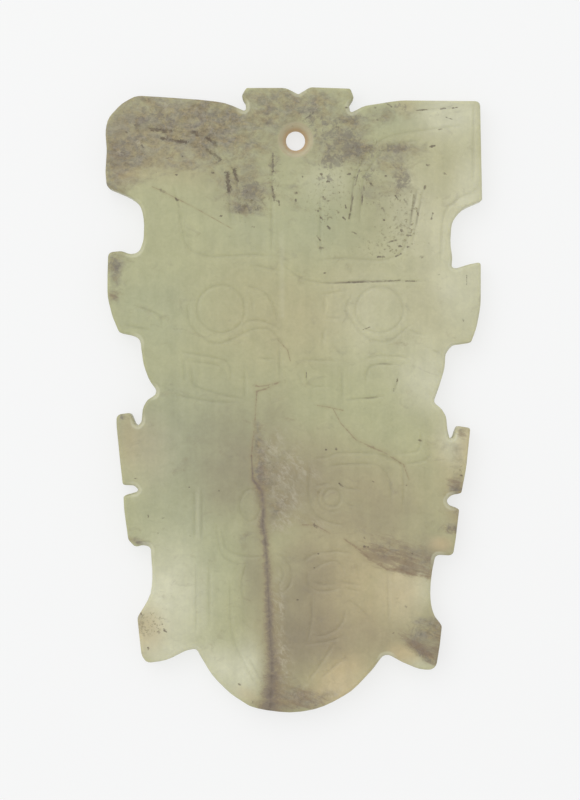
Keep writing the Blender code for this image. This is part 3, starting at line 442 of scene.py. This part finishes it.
def sawn_outline(shape):
    """The outline's corners counterclockwise, from the ring where the lower eased edge meets the side."""
    ring_level = sorted({round(v.co.z, 5) for v in shape.verts})[1]
    ring = [v for v in shape.verts if abs(v.co.z - ring_level) < LEVEL_TOLERANCE]
    beside = {v: [e.other_vert(v) for e in v.link_edges if e.other_vert(v) in ring] for v in ring}
    walk = [ring[0], beside[ring[0]][0]]
    while True:
        onward = [v for v in beside[walk[-1]] if v is not walk[-2]][0]
        if onward is walk[0]:
            break
        walk.append(onward)
    corners = np.array([(v.co.x, v.co.y) for v in walk]) / MM
    following = np.roll(corners, -1, axis=0)
    area = np.sum(corners[:, 0] * following[:, 1] - corners[:, 1] * following[:, 0])
    return corners if area > 0 else corners[::-1]


def carved_edges(shape):
    """The bottom edges of the carved lines: between points just under the face, in millimetres."""
    heights = {round(v.co.z, 5) for v in shape.verts}
    deepest = min(height for height in heights if height > FACE_HEIGHT / 2 + LEVEL_TOLERANCE)
    low, high = deepest + LEVEL_TOLERANCE, FACE_HEIGHT - LEVEL_TOLERANCE
    pairs = [e.verts for e in shape.edges if all(low < v.co.z < high for v in e.verts)]
    return [(np.array(a.co) / MM, np.array(b.co) / MM) for a, b in pairs]


def stepped(corners, step, closed):
    """Points at most a step apart along straight spans, with every corner kept."""
    ends = np.roll(corners, -1, axis=0) if closed else corners[1:]
    points = []
    for start, end in zip(corners, ends):
        count = max(1, math.ceil(np.linalg.norm(end - start) / step))
        points += [start + (end - start) * share / count for share in range(count)]
    return np.array(points if closed else points + [corners[-1]])


def inward_normals(ring):
    """Unit normals that point into a counterclockwise ring."""
    along = np.roll(ring, -1, axis=0) - np.roll(ring, 1, axis=0)
    along /= np.linalg.norm(along, axis=1)[:, None]
    return np.stack([-along[:, 1], along[:, 0]], axis=1)


def hollowness(ring, reach):
    """How strongly the ring bends into the stone near each point, from 0 to 1, over a reach in points."""
    back = ring - np.roll(ring, reach, axis=0)
    on = np.roll(ring, -reach, axis=0) - ring
    turn = np.arctan2(back[:, 0] * on[:, 1] - back[:, 1] * on[:, 0], np.sum(back * on, axis=1))
    bend = np.clip(-turn / NOTCH_BEND, 0.0, 1.0)
    window = np.ones(2 * reach + 1) / (2 * reach + 1)
    padded = np.concatenate([bend[-reach:], bend, bend[:reach]])
    return np.clip(np.convolve(padded, window, mode="valid") * NOTCH_GAIN, 0.0, 1.0)


def lookup(points):
    """A tree that finds which of some flat points is nearest."""
    tree = KDTree(len(points))
    for index, (x, y) in enumerate(points):
        tree.insert((x, y, 0.0), index)
    tree.balance()
    return tree


class Rim:
    """The stone's outline with the distance to it and the width of its worn edge."""

    def __init__(self, corners, settings):
        step = settings.outline_step / MM
        self.ring = stepped(corners, step, True)
        self.inward = inward_normals(self.ring)
        hollow = hollowness(self.ring, round(BEND_REACH / step))
        widening = settings.notch_bevel - settings.edge_rounding
        self.width = (settings.edge_rounding + widening * hollow) / MM
        self.tree = lookup(self.ring)

    def measure(self, points):
        """Each point's distance to the outline, and the worn edge's width where it is nearest."""
        nearest = np.array([self.tree.find((x, y, 0.0))[1] for x, y in points])
        here = self.ring[nearest]
        away = np.full(len(points), np.inf)
        for other in (self.ring[nearest - 1], self.ring[(nearest + 1) % len(self.ring)]):
            away = np.minimum(away, span_distance(points, here, other)[0])
        return away, self.width[nearest]


def span_distance(points, start, end):
    """Each point's distance to its own straight span, and the share of the span where it is nearest."""
    span = end - start
    share = np.sum((points - start) * span, axis=-1) / np.maximum(np.sum(span * span, axis=-1), TINY ** 2)
    share = np.clip(share, 0.0, 1.0)
    return np.linalg.norm(points - start - span * share[..., None], axis=-1), share


def worn_drop(away, width):
    """How far a rounded edge has dropped at a distance from the outline."""
    inside = np.clip(width - away, 0.0, width)
    return width - np.sqrt(np.maximum(width * width - inside * inside, 0.0))


def thin_out(points, gap):
    """The points with those dropped that share a small square with an earlier one."""
    seen = set()
    kept = []
    for index, (x, y) in enumerate(points):
        square = (round(x / gap), round(y / gap))
        if square not in seen:
            seen.add(square)
            kept.append(index)
    return points[kept]


def rows_beside(spans, step, offsets):
    """Points along straight spans and in rows at both sides of them."""
    rows = []
    for start, end in spans:
        start, end = start[:2], end[:2]
        along = end - start
        reach = np.linalg.norm(along)
        if reach < TINY:
            continue
        across = np.array([-along[1], along[0]]) / reach
        middle = stepped(np.array([start, end]), step, False)
        rows.append((0.0, middle))
        rows += [(offset, middle + across * side * offset) for offset in offsets for side in (1, -1)]
    ordered = sorted(rows, key=lambda row: row[0])
    return np.concatenate([points for offset, points in ordered])


def field_points(low, high, step):
    """A triangular grid of points over a box."""
    rise = step * math.sqrt(3) / 2
    points = []
    for row in range(int((high[1] - low[1]) / rise) + 1):
        shift = step / 2 if row % 2 else 0.0
        count = int((high[0] - low[0]) / step) + 1
        points += [(low[0] + shift + step * place, low[1] + rise * row) for place in range(count)]
    return np.array(points)


def clear_of(points, taken, gap):
    """The points that keep a gap from those already taken."""
    tree = lookup(taken)
    return points[[tree.find((x, y, 0.0))[2] > gap for x, y in points]]


def hole_ring(radius):
    """Points around the cord hole."""
    angles = np.arange(HOLE_SIDES) * 2 * math.pi / HOLE_SIDES
    return np.stack([HOLE[0] + radius * np.cos(angles), HOLE[1] + radius * np.sin(angles)], axis=1)


def hole_distance(points):
    """Each point's distance from the cord hole's axis."""
    return np.linalg.norm(points - np.array(HOLE), axis=1)


def sheet(rim, spans, line_step, offsets, step, mouth):
    """One face of the stone as flat triangles: its points and faces, open at the cord hole."""
    border = rim.ring
    rim_rows = []
    for share in RIM_SHARES:
        inset = border + rim.inward * (rim.width * share)[:, None]
        away = rim.measure(inset)[0]
        rim_rows.append(inset[away > ROW_KEPT * rim.width * share])
    rings = [hole_ring(mouth + row) for row in MOUTH_ROWS]
    lines = thin_out(rows_beside(spans, line_step, offsets), LINE_GAP)
    away, width = rim.measure(lines)
    lines = lines[(away > width * RIM_CLEARANCE) & (hole_distance(lines) > mouth + MOUTH_CLEARANCE)]
    taken = np.concatenate([border, rings[0], *rim_rows, *rings[1:], lines])
    fill = field_points(border.min(axis=0), border.max(axis=0), step)
    fill = clear_of(fill, taken, FILL_GAP * step)
    fill = fill[hole_distance(fill) > mouth + MOUTH_ROWS[-1]]
    points = np.concatenate([taken, fill])
    loops = [list(range(len(border))), list(range(len(border), len(border) + HOLE_SIDES))]
    found = delaunay_2d_cdt([Vector(p) for p in points], [], loops, 1, TINY, True)
    places = np.array([tuple(v) for v in found[0]])
    return places, [face for face, within in zip(found[2], found[5]) if within == [0]]


def strip(rings):
    """Faces between closed rings of the same number of points, given as numbers of their first points."""
    faces = []
    for (first, count), (second, same) in zip(rings, rings[1:]):
        for place in range(count):
            onward = (place + 1) % count
            faces.append((first + place, first + onward, second + onward))
            faces.append((first + place, second + onward, second + place))
    return faces


def stone_shape(corners, lines, settings):
    """The whole stone as one closed mesh: carved face, plain back, side wall and cord hole."""
    rim = Rim(corners, settings)
    top = FACE_HEIGHT / MM
    mouth = HOLE_MOUTH + MOUTH_WEAR[0][0]
    flaws = [(np.array(a[:2]), np.array(b[:2])) for path in [VEIN, *CRACKS] for a, b in zip(path, path[1:])]
    for mark in SOIL_AND_SHADOW_MARKS:
        flaws.append((np.array(mark[:2]) - ROW_OFFSETS[0], np.array(mark[2:4]) + ROW_OFFSETS[0]))
    shape = bmesh.new()

    def add_part(places, heights, faces):
        used = sorted({i for face in faces for i in face})
        verts = {i: shape.verts.new((*places[i] * MM, heights[i] * MM)) for i in used}
        for face in faces:
            shape.faces.new([verts[i] for i in face])

    places, faces = sheet(
        rim, lines + flaws, settings.line_step / MM, ROW_OFFSETS, settings.face_step / MM, mouth)
    add_part(places, top - worn_drop(*rim.measure(places)), faces)
    places, faces = sheet(rim, flaws, settings.line_step / MM, (), settings.back_step / MM, mouth)
    add_part(places, worn_drop(*rim.measure(places)), [face[::-1] for face in faces])

    # The side wall, from the worn upper edge down to the worn lower one
    count = len(rim.ring)
    shares = np.linspace(0.0, 1.0, SIDE_ROWS)
    wall = np.concatenate([rim.ring] * SIDE_ROWS)
    heights = np.concatenate([top - rim.width - (top - 2 * rim.width) * share for share in shares])
    faces = strip([(count * row, count) for row in range(SIDE_ROWS)])
    add_part(wall, heights, [face[::-1] for face in faces])

    # The hole: two drilled cones that meet at a waist, with worn mouths
    upper = [(HOLE_MOUTH + out, top - down) for out, down in MOUTH_WEAR]
    wide, tall = HOLE_MOUTH - CONE_START[0] - HOLE_WAIST, top / 2 - CONE_START[1]
    upper += [(HOLE_WAIST + wide * share, top / 2 + tall * share) for share in CONE_SHARES]
    lower = [(radius, top - height) for radius, height in reversed(upper)]
    turned = upper + [(HOLE_WAIST - WAIST_WEAR, top / 2)] + lower
    around = np.concatenate([hole_ring(radius) for radius, height in turned])
    heights = np.repeat([height for radius, height in turned], HOLE_SIDES)
    add_part(around, heights, strip([(HOLE_SIDES * row, HOLE_SIDES) for row in range(len(turned))]))

    bmesh.ops.remove_doubles(shape, verts=shape.verts[:], dist=JOIN_DISTANCE)
    mesh = bpy.data.meshes.new("mask_stone")
    shape.to_mesh(mesh)
    shape.free()
    return mesh, rim


def feed(node, sockets):
    """Gives a node's sockets values or links: from an output, or from a node's first output in use."""
    for key, value in sockets.items():
        if isinstance(value, bpy.types.Node):
            value = next(output for output in value.outputs if output.enabled)
        if isinstance(value, bpy.types.NodeSocket):
            node.id_data.links.new(value, node.inputs[key])
        else:
            node.inputs[key].default_value = value


def add(tree, kind, sockets=None, **settings):
    """Adds a node with its settings and links. A kind without a family is a shader node."""
    node = tree.nodes.new(kind if "Node" in kind else "ShaderNode" + kind)
    for name, value in settings.items():
        setattr(node, name, value)
    feed(node, sockets or {})
    return node


def new_object(name, data):
    """A new object in the scene, at the origin."""
    made = bpy.data.objects.new(name, data)
    bpy.context.scene.collection.objects.link(made)
    return made


def new_material(name):
    """A new material and its shader node."""
    material = bpy.data.materials.new(name)
    material.use_nodes = True
    return material, material.node_tree.nodes["Principled BSDF"]


def engraving_tree():
    """Geometry Nodes that press the carved lines into the face, and let the face swell gently."""
    tree = bpy.data.node_groups.new("worn engraving", "GeometryNodeTree")
    tree.interface.new_socket("Geometry", in_out="OUTPUT", socket_type="NodeSocketGeometry")
    kinds = {"Geometry": "Geometry", "Carved Lines": "Object", "Stone": "Material"}
    for name in ("Face Height", "Line Width", "Line Depth", "Cut Depth", "Swell Height", "Swell Size"):
        kinds[name] = "Float"
    for name, kind in kinds.items():
        tree.interface.new_socket(name, in_out="INPUT", socket_type="NodeSocket" + kind)
    given = tree.nodes.new("NodeGroupInput").outputs
    place = add(tree, "GeometryNodeInputPosition")
    lines = add(tree, "GeometryNodeObjectInfo", {"Object": given["Carved Lines"]}).outputs["Geometry"]
    near = add(
        tree, "GeometryNodeProximity", {"Geometry": lines, "Sample Position": place},
        target_element="EDGES").outputs["Position"]

    # Distance beside the nearest line, and how deep that line is cut there
    gap = add(tree, "VectorMath", {0: place, 1: near}, operation="SUBTRACT")
    flat = add(tree, "VectorMath", {0: gap, 1: (1.0, 1.0, 0.0)}, operation="MULTIPLY")
    away = add(tree, "VectorMath", {0: flat}, operation="LENGTH").outputs["Value"]
    half = add(tree, "Math", {0: given["Line Width"], 1: 0.5}, operation="MULTIPLY")
    bottom = add(tree, "SeparateXYZ", {0: near}).outputs["Z"]
    cut = add(tree, "Math", {0: given["Face Height"], 1: bottom}, operation="SUBTRACT")
    share = add(tree, "Math", {0: cut, 1: given["Cut Depth"]}, operation="DIVIDE")
    profile = add(
        tree, "MapRange", {"Value": away, "From Max": half, "To Min": 1.0, "To Max": 0.0},
        interpolation_type="SMOOTHSTEP")
    height = add(tree, "SeparateXYZ", {0: place}).outputs["Z"]
    level = add(tree, "Math", {0: height, 1: given["Face Height"]}, operation="DIVIDE")
    facing = add(tree, "MapRange", {"Value": level, "From Min": FACE_SHARES[0], "From Max": FACE_SHARES[1]})
    deep = add(tree, "Math", {0: profile, 1: share}, operation="MULTIPLY")
    groove = add(tree, "Math", {0: deep, 1: facing}, operation="MULTIPLY")

    # The face swells and sinks by hand grinding, and the back stays flat on the table
    pace = add(tree, "Math", {0: 1.0, 1: given["Swell Size"]}, operation="DIVIDE")
    waves = add(tree, "TexNoise", {"Vector": place, "Scale": pace, "Detail": 1.0})
    wave = add(tree, "Math", {0: waves, 1: 0.5}, operation="SUBTRACT")
    rise = add(tree, "Math", {0: wave, 1: given["Swell Height"]}, operation="MULTIPLY")
    lift = add(tree, "Math", {0: rise, 1: level}, operation="MULTIPLY")
    sink = add(tree, "Math", {0: groove, 1: given["Line Depth"]}, operation="MULTIPLY")
    move = add(tree, "Math", {0: lift, 1: sink}, operation="SUBTRACT")
    offset = add(tree, "CombineXYZ", {"Z": move})
    kept = add(
        tree, "GeometryNodeStoreNamedAttribute",
        {"Geometry": given["Geometry"], "Name": "groove", "Value": groove}, data_type="FLOAT",
        domain="POINT")
    pressed = add(tree, "GeometryNodeSetPosition", {"Geometry": kept, "Offset": offset})
    real = add(tree, "GeometryNodeRealizeInstances", {0: pressed})
    shaded = add(tree, "GeometryNodeSetMaterial", {0: real, "Material": given["Stone"]})
    add(tree, "NodeGroupOutput", {0: shaded})
    return tree


def engrave(stone, lines, material, settings):
    """Cuts the lines into the stone and leaves it a plain mesh."""
    cuts = bpy.data.meshes.new("carved_lines")
    ends = [tuple(point * MM) for pair in lines for point in pair]
    cuts.from_pydata(ends, [(i, i + 1) for i in range(0, len(ends), 2)], [])
    carver = new_object("carved_lines", cuts)
    tree = engraving_tree()
    step = stone.modifiers.new("engraving", "NODES")
    step.node_group = tree
    values = {
        "Carved Lines": carver, "Stone": material, "Face Height": FACE_HEIGHT,
        "Line Width": settings.groove_width, "Line Depth": settings.groove_depth,
        "Cut Depth": FACE_HEIGHT - min(z for x, y, z in ends), "Swell Height": settings.swell_height,
        "Swell Size": settings.swell_size,
    }
    for socket in tree.interface.items_tree:
        if socket.name in values and socket.in_out == "INPUT":
            step[socket.identifier] = values[socket.name]
    graph = bpy.context.evaluated_depsgraph_get()
    finished = bpy.data.meshes.new_from_object(stone.evaluated_get(graph))
    finished.name = stone.name
    stone.modifiers.remove(step)
    stone.data = finished
    bpy.data.objects.remove(carver)


def patches(points, spots):
    """How strongly soft-edged patches cover each point, from 0 to 1."""
    bare = np.ones(len(points))
    for x, y, wide, tall, strength, *turned in spots:
        angle = math.radians(sum(turned))
        along = (points[:, 0] - x) * math.cos(angle) + (points[:, 1] - y) * math.sin(angle)
        across = (points[:, 1] - y) * math.cos(angle) - (points[:, 0] - x) * math.sin(angle)
        away = ((along / wide) ** 2 + (across / tall) ** 2) ** PATCH_EDGE
        bare *= 1.0 - strength * np.exp(-PATCH_FADE * away)
    return 1.0 - bare


def flaw_distance(points, paths):
    """Each point's distance from the nearest of some flaws, counted in the flaw's own half widths."""
    best = np.full(len(points), FAR)
    for path in paths:
        for (ax, ay, aw), (bx, by, bw) in zip(path, path[1:]):
            away, share = span_distance(points, np.array((ax, ay)), np.array((bx, by)))
            best = np.minimum(best, away / (aw + (bw - aw) * share))
    return best


def mark_age(stone, rim):
    """Stores on the stone where its patches, flaws and edges are, for the material."""
    mesh = stone.data
    places = np.empty(len(mesh.vertices) * 3)
    mesh.vertices.foreach_get("co", places)
    places = places.reshape(-1, 3) / MM
    points = places[:, :2]
    marks = {name: patches(points, spots) for name, spots in PATCHES.items()}
    marks["vein"] = flaw_distance(points, [VEIN])
    marks["crack"] = flaw_distance(points, CRACKS)
    marks["soil"] = flaw_distance(points, [[(ax, ay, w), (bx, by, w)] for ax, ay, bx, by, w in SOIL_AND_SHADOW_MARKS])
    marks["streak"] = flaw_distance(points, STREAKS)
    plain = places[:, 2] < FACE_SHARES[0] * FACE_HEIGHT / MM
    for name in ("soil", "streak"):
        marks[name][plain] = FAR
    marks["bore"] = hole_distance(points)
    marks["rim"], marks["bevel"] = rim.measure(points)
    for name, values in marks.items():
        layer = mesh.attributes.new(name, "FLOAT", "POINT")
        layer.data.foreach_set("value", values.astype(np.float32))


def stone_parts(tree):
    """The stone's marks and patterns by name, turned to the ranges in which they act."""
    place = add(tree, "TexCoord").outputs["Object"]
    ways = {"even": place}
    for name, (slope, wide, tall, kind) in DIRECTIONS.items():
        ways[name] = add(
            tree, "Mapping",
            {"Vector": place, "Rotation": (0, 0, math.radians(slope)), "Scale": (wide, tall, 1)},
            vector_type=kind)
    names = (*PATCHES, "vein", "crack", "soil", "streak", "bore", "rim", "bevel", "groove")
    parts = {name: add(tree, "Attribute", attribute_name=name).outputs["Fac"] for name in names}
    for name, (way, size, detail, rough, twist) in PATTERNS.items():
        parts[name] = add(
            tree, "TexNoise",
            {"Vector": ways[way], "Scale": 1 / (size * MM), "Detail": detail, "Roughness": rough,
             "Distortion": twist})
    parts["spreading"] = add(
        tree, "Math", {0: parts["hazed"], 1: 0.42, 2: parts["drift"]}, operation="MULTIPLY_ADD")
    parts["edge"] = add(tree, "Math", {0: parts["rim"], 1: parts["bevel"]}, operation="DIVIDE")
    for name, source, kind, low, high, start, end in RANGES:
        parts[name] = add(
            tree, "MapRange",
            {"Value": parts[source], "From Min": low, "From Max": high, "To Min": start, "To Max": end},
            interpolation_type=kind)
    return parts


def tone_layers(tree, parts, shades):
    """The unaltered stone: patches of tone with painted glow and shade, then clouds, upright bands and fine
    grain.
    """
    # The light and amber patches paint glow, the dark ones paint shade
    for name, shade, most in (
            ("cool", "green", 0.9), ("warm", "straw", 0.95), ("light", "pale", 0.9), ("dark", "olive", 0.9),
            ("amber", "amber", 0.85)):
        share = add(tree, "Math", {0: parts[name], 1: most}, operation="MULTIPLY")
        amount = add(tree, "Math", {0: share, 1: parts["tone"]}, operation="MULTIPLY", use_clamp=True)
        yield amount, shades[shade]
    for name in ("clouds", "bands", "grain"):
        yield parts[name], None


def skin_layers(tree, parts, shades):
    """Altered skin: a brown-grey haze with fine mottling, then flakes, crust, specks and layered stains."""
    tint = shades["brown"]
    for name in ("ochre", "grey"):
        tint = add(tree, "Mix", {0: parts[name], 6: tint, 7: shades[name]}, data_type="RGBA")
    yield add(tree, "Math", {0: parts["haze"], 1: 0.9}, operation="MULTIPLY"), tint
    yield add(tree, "Mix", {0: parts["haze"], 2: 1.0, 3: parts["mottle"]}), None

    # How a strong zone gathers the flecks, then how rare, soft-edged and strong they are
    for name, zone, shade, gather, rare, soft, most in (
            ("flakes", "flaked", "slate", 0.24, 0.645, 0.08, 0.55),
            ("crust", "hazed", "chalk", 0.22, 0.78, 0.1, 0.4),
            ("specks", "specked", "speck", 0.2, 0.715, 0.1, 0.5),
            ("spots", "specked", "speck", 0.2, 0.725, 0.1, 0.5),
            ("stains", "stained", "umber", 0.2, 0.53, 0.2, 0.55)):
        gathered = add(
            tree, "Math", {0: parts[zone], 1: gather, 2: parts[name]}, operation="MULTIPLY_ADD")
        amount = add(
            tree, "MapRange",
            {"Value": gathered, "From Min": rare, "From Max": rare + soft, "To Max": most},
            interpolation_type="SMOOTHSTEP")
        within = add(tree, "MapRange", {"Value": parts[zone], "From Min": 0.02, "From Max": 0.3})
        yield add(tree, "Math", {0: amount, 1: within}, operation="MULTIPLY"), shades[shade]


def cloud_layers(tree, parts, shades):
    """Whitish and ochre clouding beside the vein, drawn out down to the right, with whiter grains."""
    tint = add(tree, "Mix", {0: parts["milk"], 6: shades["ochre"], 7: shades["chalk"]}, data_type="RGBA")
    for name, shade in (("gaps", tint), ("crumbs", shades["chalk"])):
        yield add(tree, "Math", {0: parts["clouded"], 1: parts[name]}, operation="MULTIPLY"), shade


def flaw_layers(tree, parts, shades):
    """The grey vein with its feathered brown edge and dark core, and the fine rusty cracks."""
    # How far the pattern shifts it, from the flaw's middle out to its edge in half widths, and its strength
    for name, shade, stir, inner, outer, most in (
            ("vein", "ochre", 5, 1, 7, 0.3), ("vein", "umber", 7, 0.6, 3.2, 0.45),
            ("vein", "plum", 7, 0, 2, 0.62), ("vein", "soil", 5, -0.5, 0.6, 0.4),
            ("crack", "ochre", 3, 0.8, 6, 0.2), ("crack", "rust", 9, -0.6, 1.5, 0.6)):
        away = add(tree, "Math", {0: parts["feather"], 1: stir, 2: parts[name]}, operation="MULTIPLY_ADD")
        yield add(
            tree, "MapRange",
            {"Value": away, "From Min": inner, "From Max": outer, "To Min": most, "To Max": 0.0},
            interpolation_type="SMOOTHSTEP"), shades[shade]


def edge_layers(tree, parts, shades):
    """Painted highlight on the ground bevels in the notches, pale streaks and the rusty drilled hole."""
    # Painted highlight: the notch bevels are painted pale, as if they catch light and let it through the
    # thin edge
    bevel = add(tree, "Math", {0: parts["near"], 1: parts["wide"]}, operation="MULTIPLY")
    yield add(tree, "Math", {0: bevel, 1: parts["streak"]}, operation="MAXIMUM"), shades["pale"]

    # Drilled cone: paler towards its mouth, with a brown ring where it meets the face
    tint = add(tree, "Mix", {0: parts["outer"], 6: shades["bore"], 7: shades["pale"]}, data_type="RGBA")
    yield parts["turned"], tint
    ring = add(tree, "Math", {0: parts["bore"], 1: HOLE_MOUTH + 0.05, 2: 0.16}, operation="COMPARE")
    yield add(tree, "Math", {0: ring, 1: 0.22}, operation="MULTIPLY"), shades["brown"]


def soil_layers(tree, parts, shades):
    """Carved lines painted a little darker than the face as shade, dark soil in them and in scratches and
    pits, and painted shadow on the cord hole's upper-left wall.
    """
    yield add(tree, "Math", {0: parts["groove"], 1: 0.07}, operation="MULTIPLY"), shades["shadow"]
    held = add(tree, "Math", {0: parts["groove"], 1: parts["soiled"]}, operation="MULTIPLY")
    patchy = add(tree, "Math", {0: held, 1: parts["lumps"]}, operation="MULTIPLY")
    filled = add(tree, "MapRange", {"Value": patchy, "From Min": 0.14, "From Max": 0.4, "To Max": 0.5})
    # Soil in scratches and pits, and the painted shadow on the cord hole's upper-left wall
    away = add(tree, "Math", {0: parts["soil"], 1: parts["ragged"]}, operation="ADD")
    pressed = add(
        tree, "MapRange", {"Value": away, "From Min": 0.35, "From Max": 1.1, "To Min": 1.0, "To Max": 0.0},
        interpolation_type="SMOOTHSTEP")
    left = add(tree, "Math", {0: pressed, 1: parts["worn"]}, operation="MULTIPLY")
    yield add(tree, "Math", {0: left, 1: filled}, operation="MAXIMUM"), shades["soil"]


def polished_nephrite(colours):
    """Nephrite jade, wheel-cut and hand-polished, then long buried.

    The eye sees a waxy, slightly cloudy yellow-green stone that lets some light through its edges,
    with duller, faintly pitted skin where it has weathered.
    """
    material, shader = new_material("hand-polished nephrite, weathered")
    tree = material.node_tree
    shades = {name: (*getattr(colours, name), 1.0) for name in colours.__annotations__}
    parts = stone_parts(tree)

    # Each layer covers the stone with a tint, by an amount. One without a tint scales its brightness.
    stone = shades["body"]
    for layers in (tone_layers, skin_layers, cloud_layers, flaw_layers, edge_layers, soil_layers):
        for amount, tint in layers(tree, parts, shades):
            if tint is None:
                stone = add(tree, "VectorMath", {0: stone, "Scale": amount}, operation="SCALE")
            else:
                stone = add(tree, "Mix", {0: amount, 6: stone, 7: tint}, data_type="RGBA")

    # Polish: softly waxy, duller on the weathered skin
    bump = add(tree, "Bump", {"Strength": parts["rough"], "Distance": 0.05 * MM, "Height": parts["grit"]})
    feed(shader, {
        "Base Color": stone, "Roughness": parts["dull"], "Normal": bump, "IOR": 1.61,
        "Specular IOR Level": 0.3, "Subsurface Weight": 0.35, "Subsurface Radius": (1.0, 0.95, 0.6),
        "Subsurface Scale": 1.0 * MM})
    return material


class PENDANT_OT_carve_stone(bpy.types.Operator):
    """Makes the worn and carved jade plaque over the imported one"""
    bl_idname = "pendant.carve_stone"
    bl_label = "Carve the stone"

    def execute(self, context):
        settings = context.scene.pendant_stone
        packed = joined_shape(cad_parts[NODE])
        lines = carved_edges(packed)
        mesh, rim = stone_shape(sawn_outline(packed), lines, settings)
        packed.free()
        stone = new_object("mask_stone", mesh)
        engrave(stone, lines, polished_nephrite(context.scene.pendant_colours), settings)
        mark_age(stone, rim)
        stone.data.shade_smooth()
        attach(stone, "root")
        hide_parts(NODE)
        return {"FINISHED"}


class PENDANT_OT_set_stage(bpy.types.Operator):
    """Lays the pale table and sets the soft lamp and the camera that looks straight down"""
    bl_idname = "pendant.set_stage"
    bl_label = "Set the stage"

    def execute(self, context):
        stage = context.scene.pendant_stage
        bpy.ops.mesh.primitive_plane_add(size=TABLE_SIDE, location=(0.0, 0.0, -TABLE_GAP))
        table = context.object
        table.name = "table"
        opal, shader = new_material("sanded opal acrylic, lit from below")
        feed(shader, {
            "Base Color": (*stage.table, 1.0), "Roughness": 0.9, "Emission Color": WHITE,
            "Emission Strength": stage.table_glow})
        table.data.materials.append(opal)
        table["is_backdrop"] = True

        lamp = bpy.data.lights.new("softbox", "AREA")
        lamp.shape = "SQUARE"
        lamp.size = stage.lamp_size
        lamp.energy = stage.lamp_power
        softbox = new_object("softbox", lamp)
        softbox.location = (*LAMP_PLACE, stage.lamp_height)
        softbox.rotation_euler = (-Vector(softbox.location)).to_track_quat("-Z", "Y").to_euler()

        world = bpy.data.worlds.new("studio air")
        world.use_nodes = True
        feed(world.node_tree.nodes["Background"], {"Color": WHITE, "Strength": stage.air_light})
        context.scene.world = world

        view = bpy.data.cameras.new("camera")
        view.lens = stage.lens
        view.clip_start = 0.01
        camera = new_object("camera", view)
        distance = stage.view_height * stage.lens / view.sensor_width
        camera.location = (stage.view_x, stage.view_y, FACE_HEIGHT + distance)
        context.scene.camera = camera
        context.scene.view_settings.view_transform = "Standard"
        return {"FINISHED"}


class PENDANT_PT_sidebar(bpy.types.Panel):
    """Lists the steps that dress the pendant"""
    bl_idname = "PENDANT_PT_sidebar"
    bl_label = "Mask pendant"
    bl_space_type = "VIEW_3D"
    bl_region_type = "UI"
    bl_category = "Mask pendant"

    def draw(self, context):
        column = self.layout.column()
        for key in GROUPS:
            group = getattr(context.scene, key)
            for name in group.__annotations__:
                column.prop(group, name)
        for step in STEPS:
            column.operator(step.bl_idname)


STEPS = (PENDANT_OT_set_stage, PENDANT_OT_carve_stone)
GROUPS = {"pendant_stone": StoneSettings, "pendant_colours": ColourSettings, "pendant_stage": StageSettings}
CLASSES = (*GROUPS.values(), *STEPS, PENDANT_PT_sidebar)


def register():
    for kind in CLASSES:
        bpy.utils.register_class(kind)
    for name, group in GROUPS.items():
        setattr(bpy.types.Scene, name, bpy.props.PointerProperty(type=group))


def unregister():
    for name in GROUPS:
        delattr(bpy.types.Scene, name)
    for kind in reversed(CLASSES):
        bpy.utils.unregister_class(kind)


def main():
    """Runs the steps in order."""
    register()
    bpy.ops.pendant.set_stage()
    bpy.ops.pendant.carve_stone()
    boxes = [[[float(n) for n in corner] for corner in box] for box in (CAD_BOUNDS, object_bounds())]


if __name__ == "__main__":
    main()
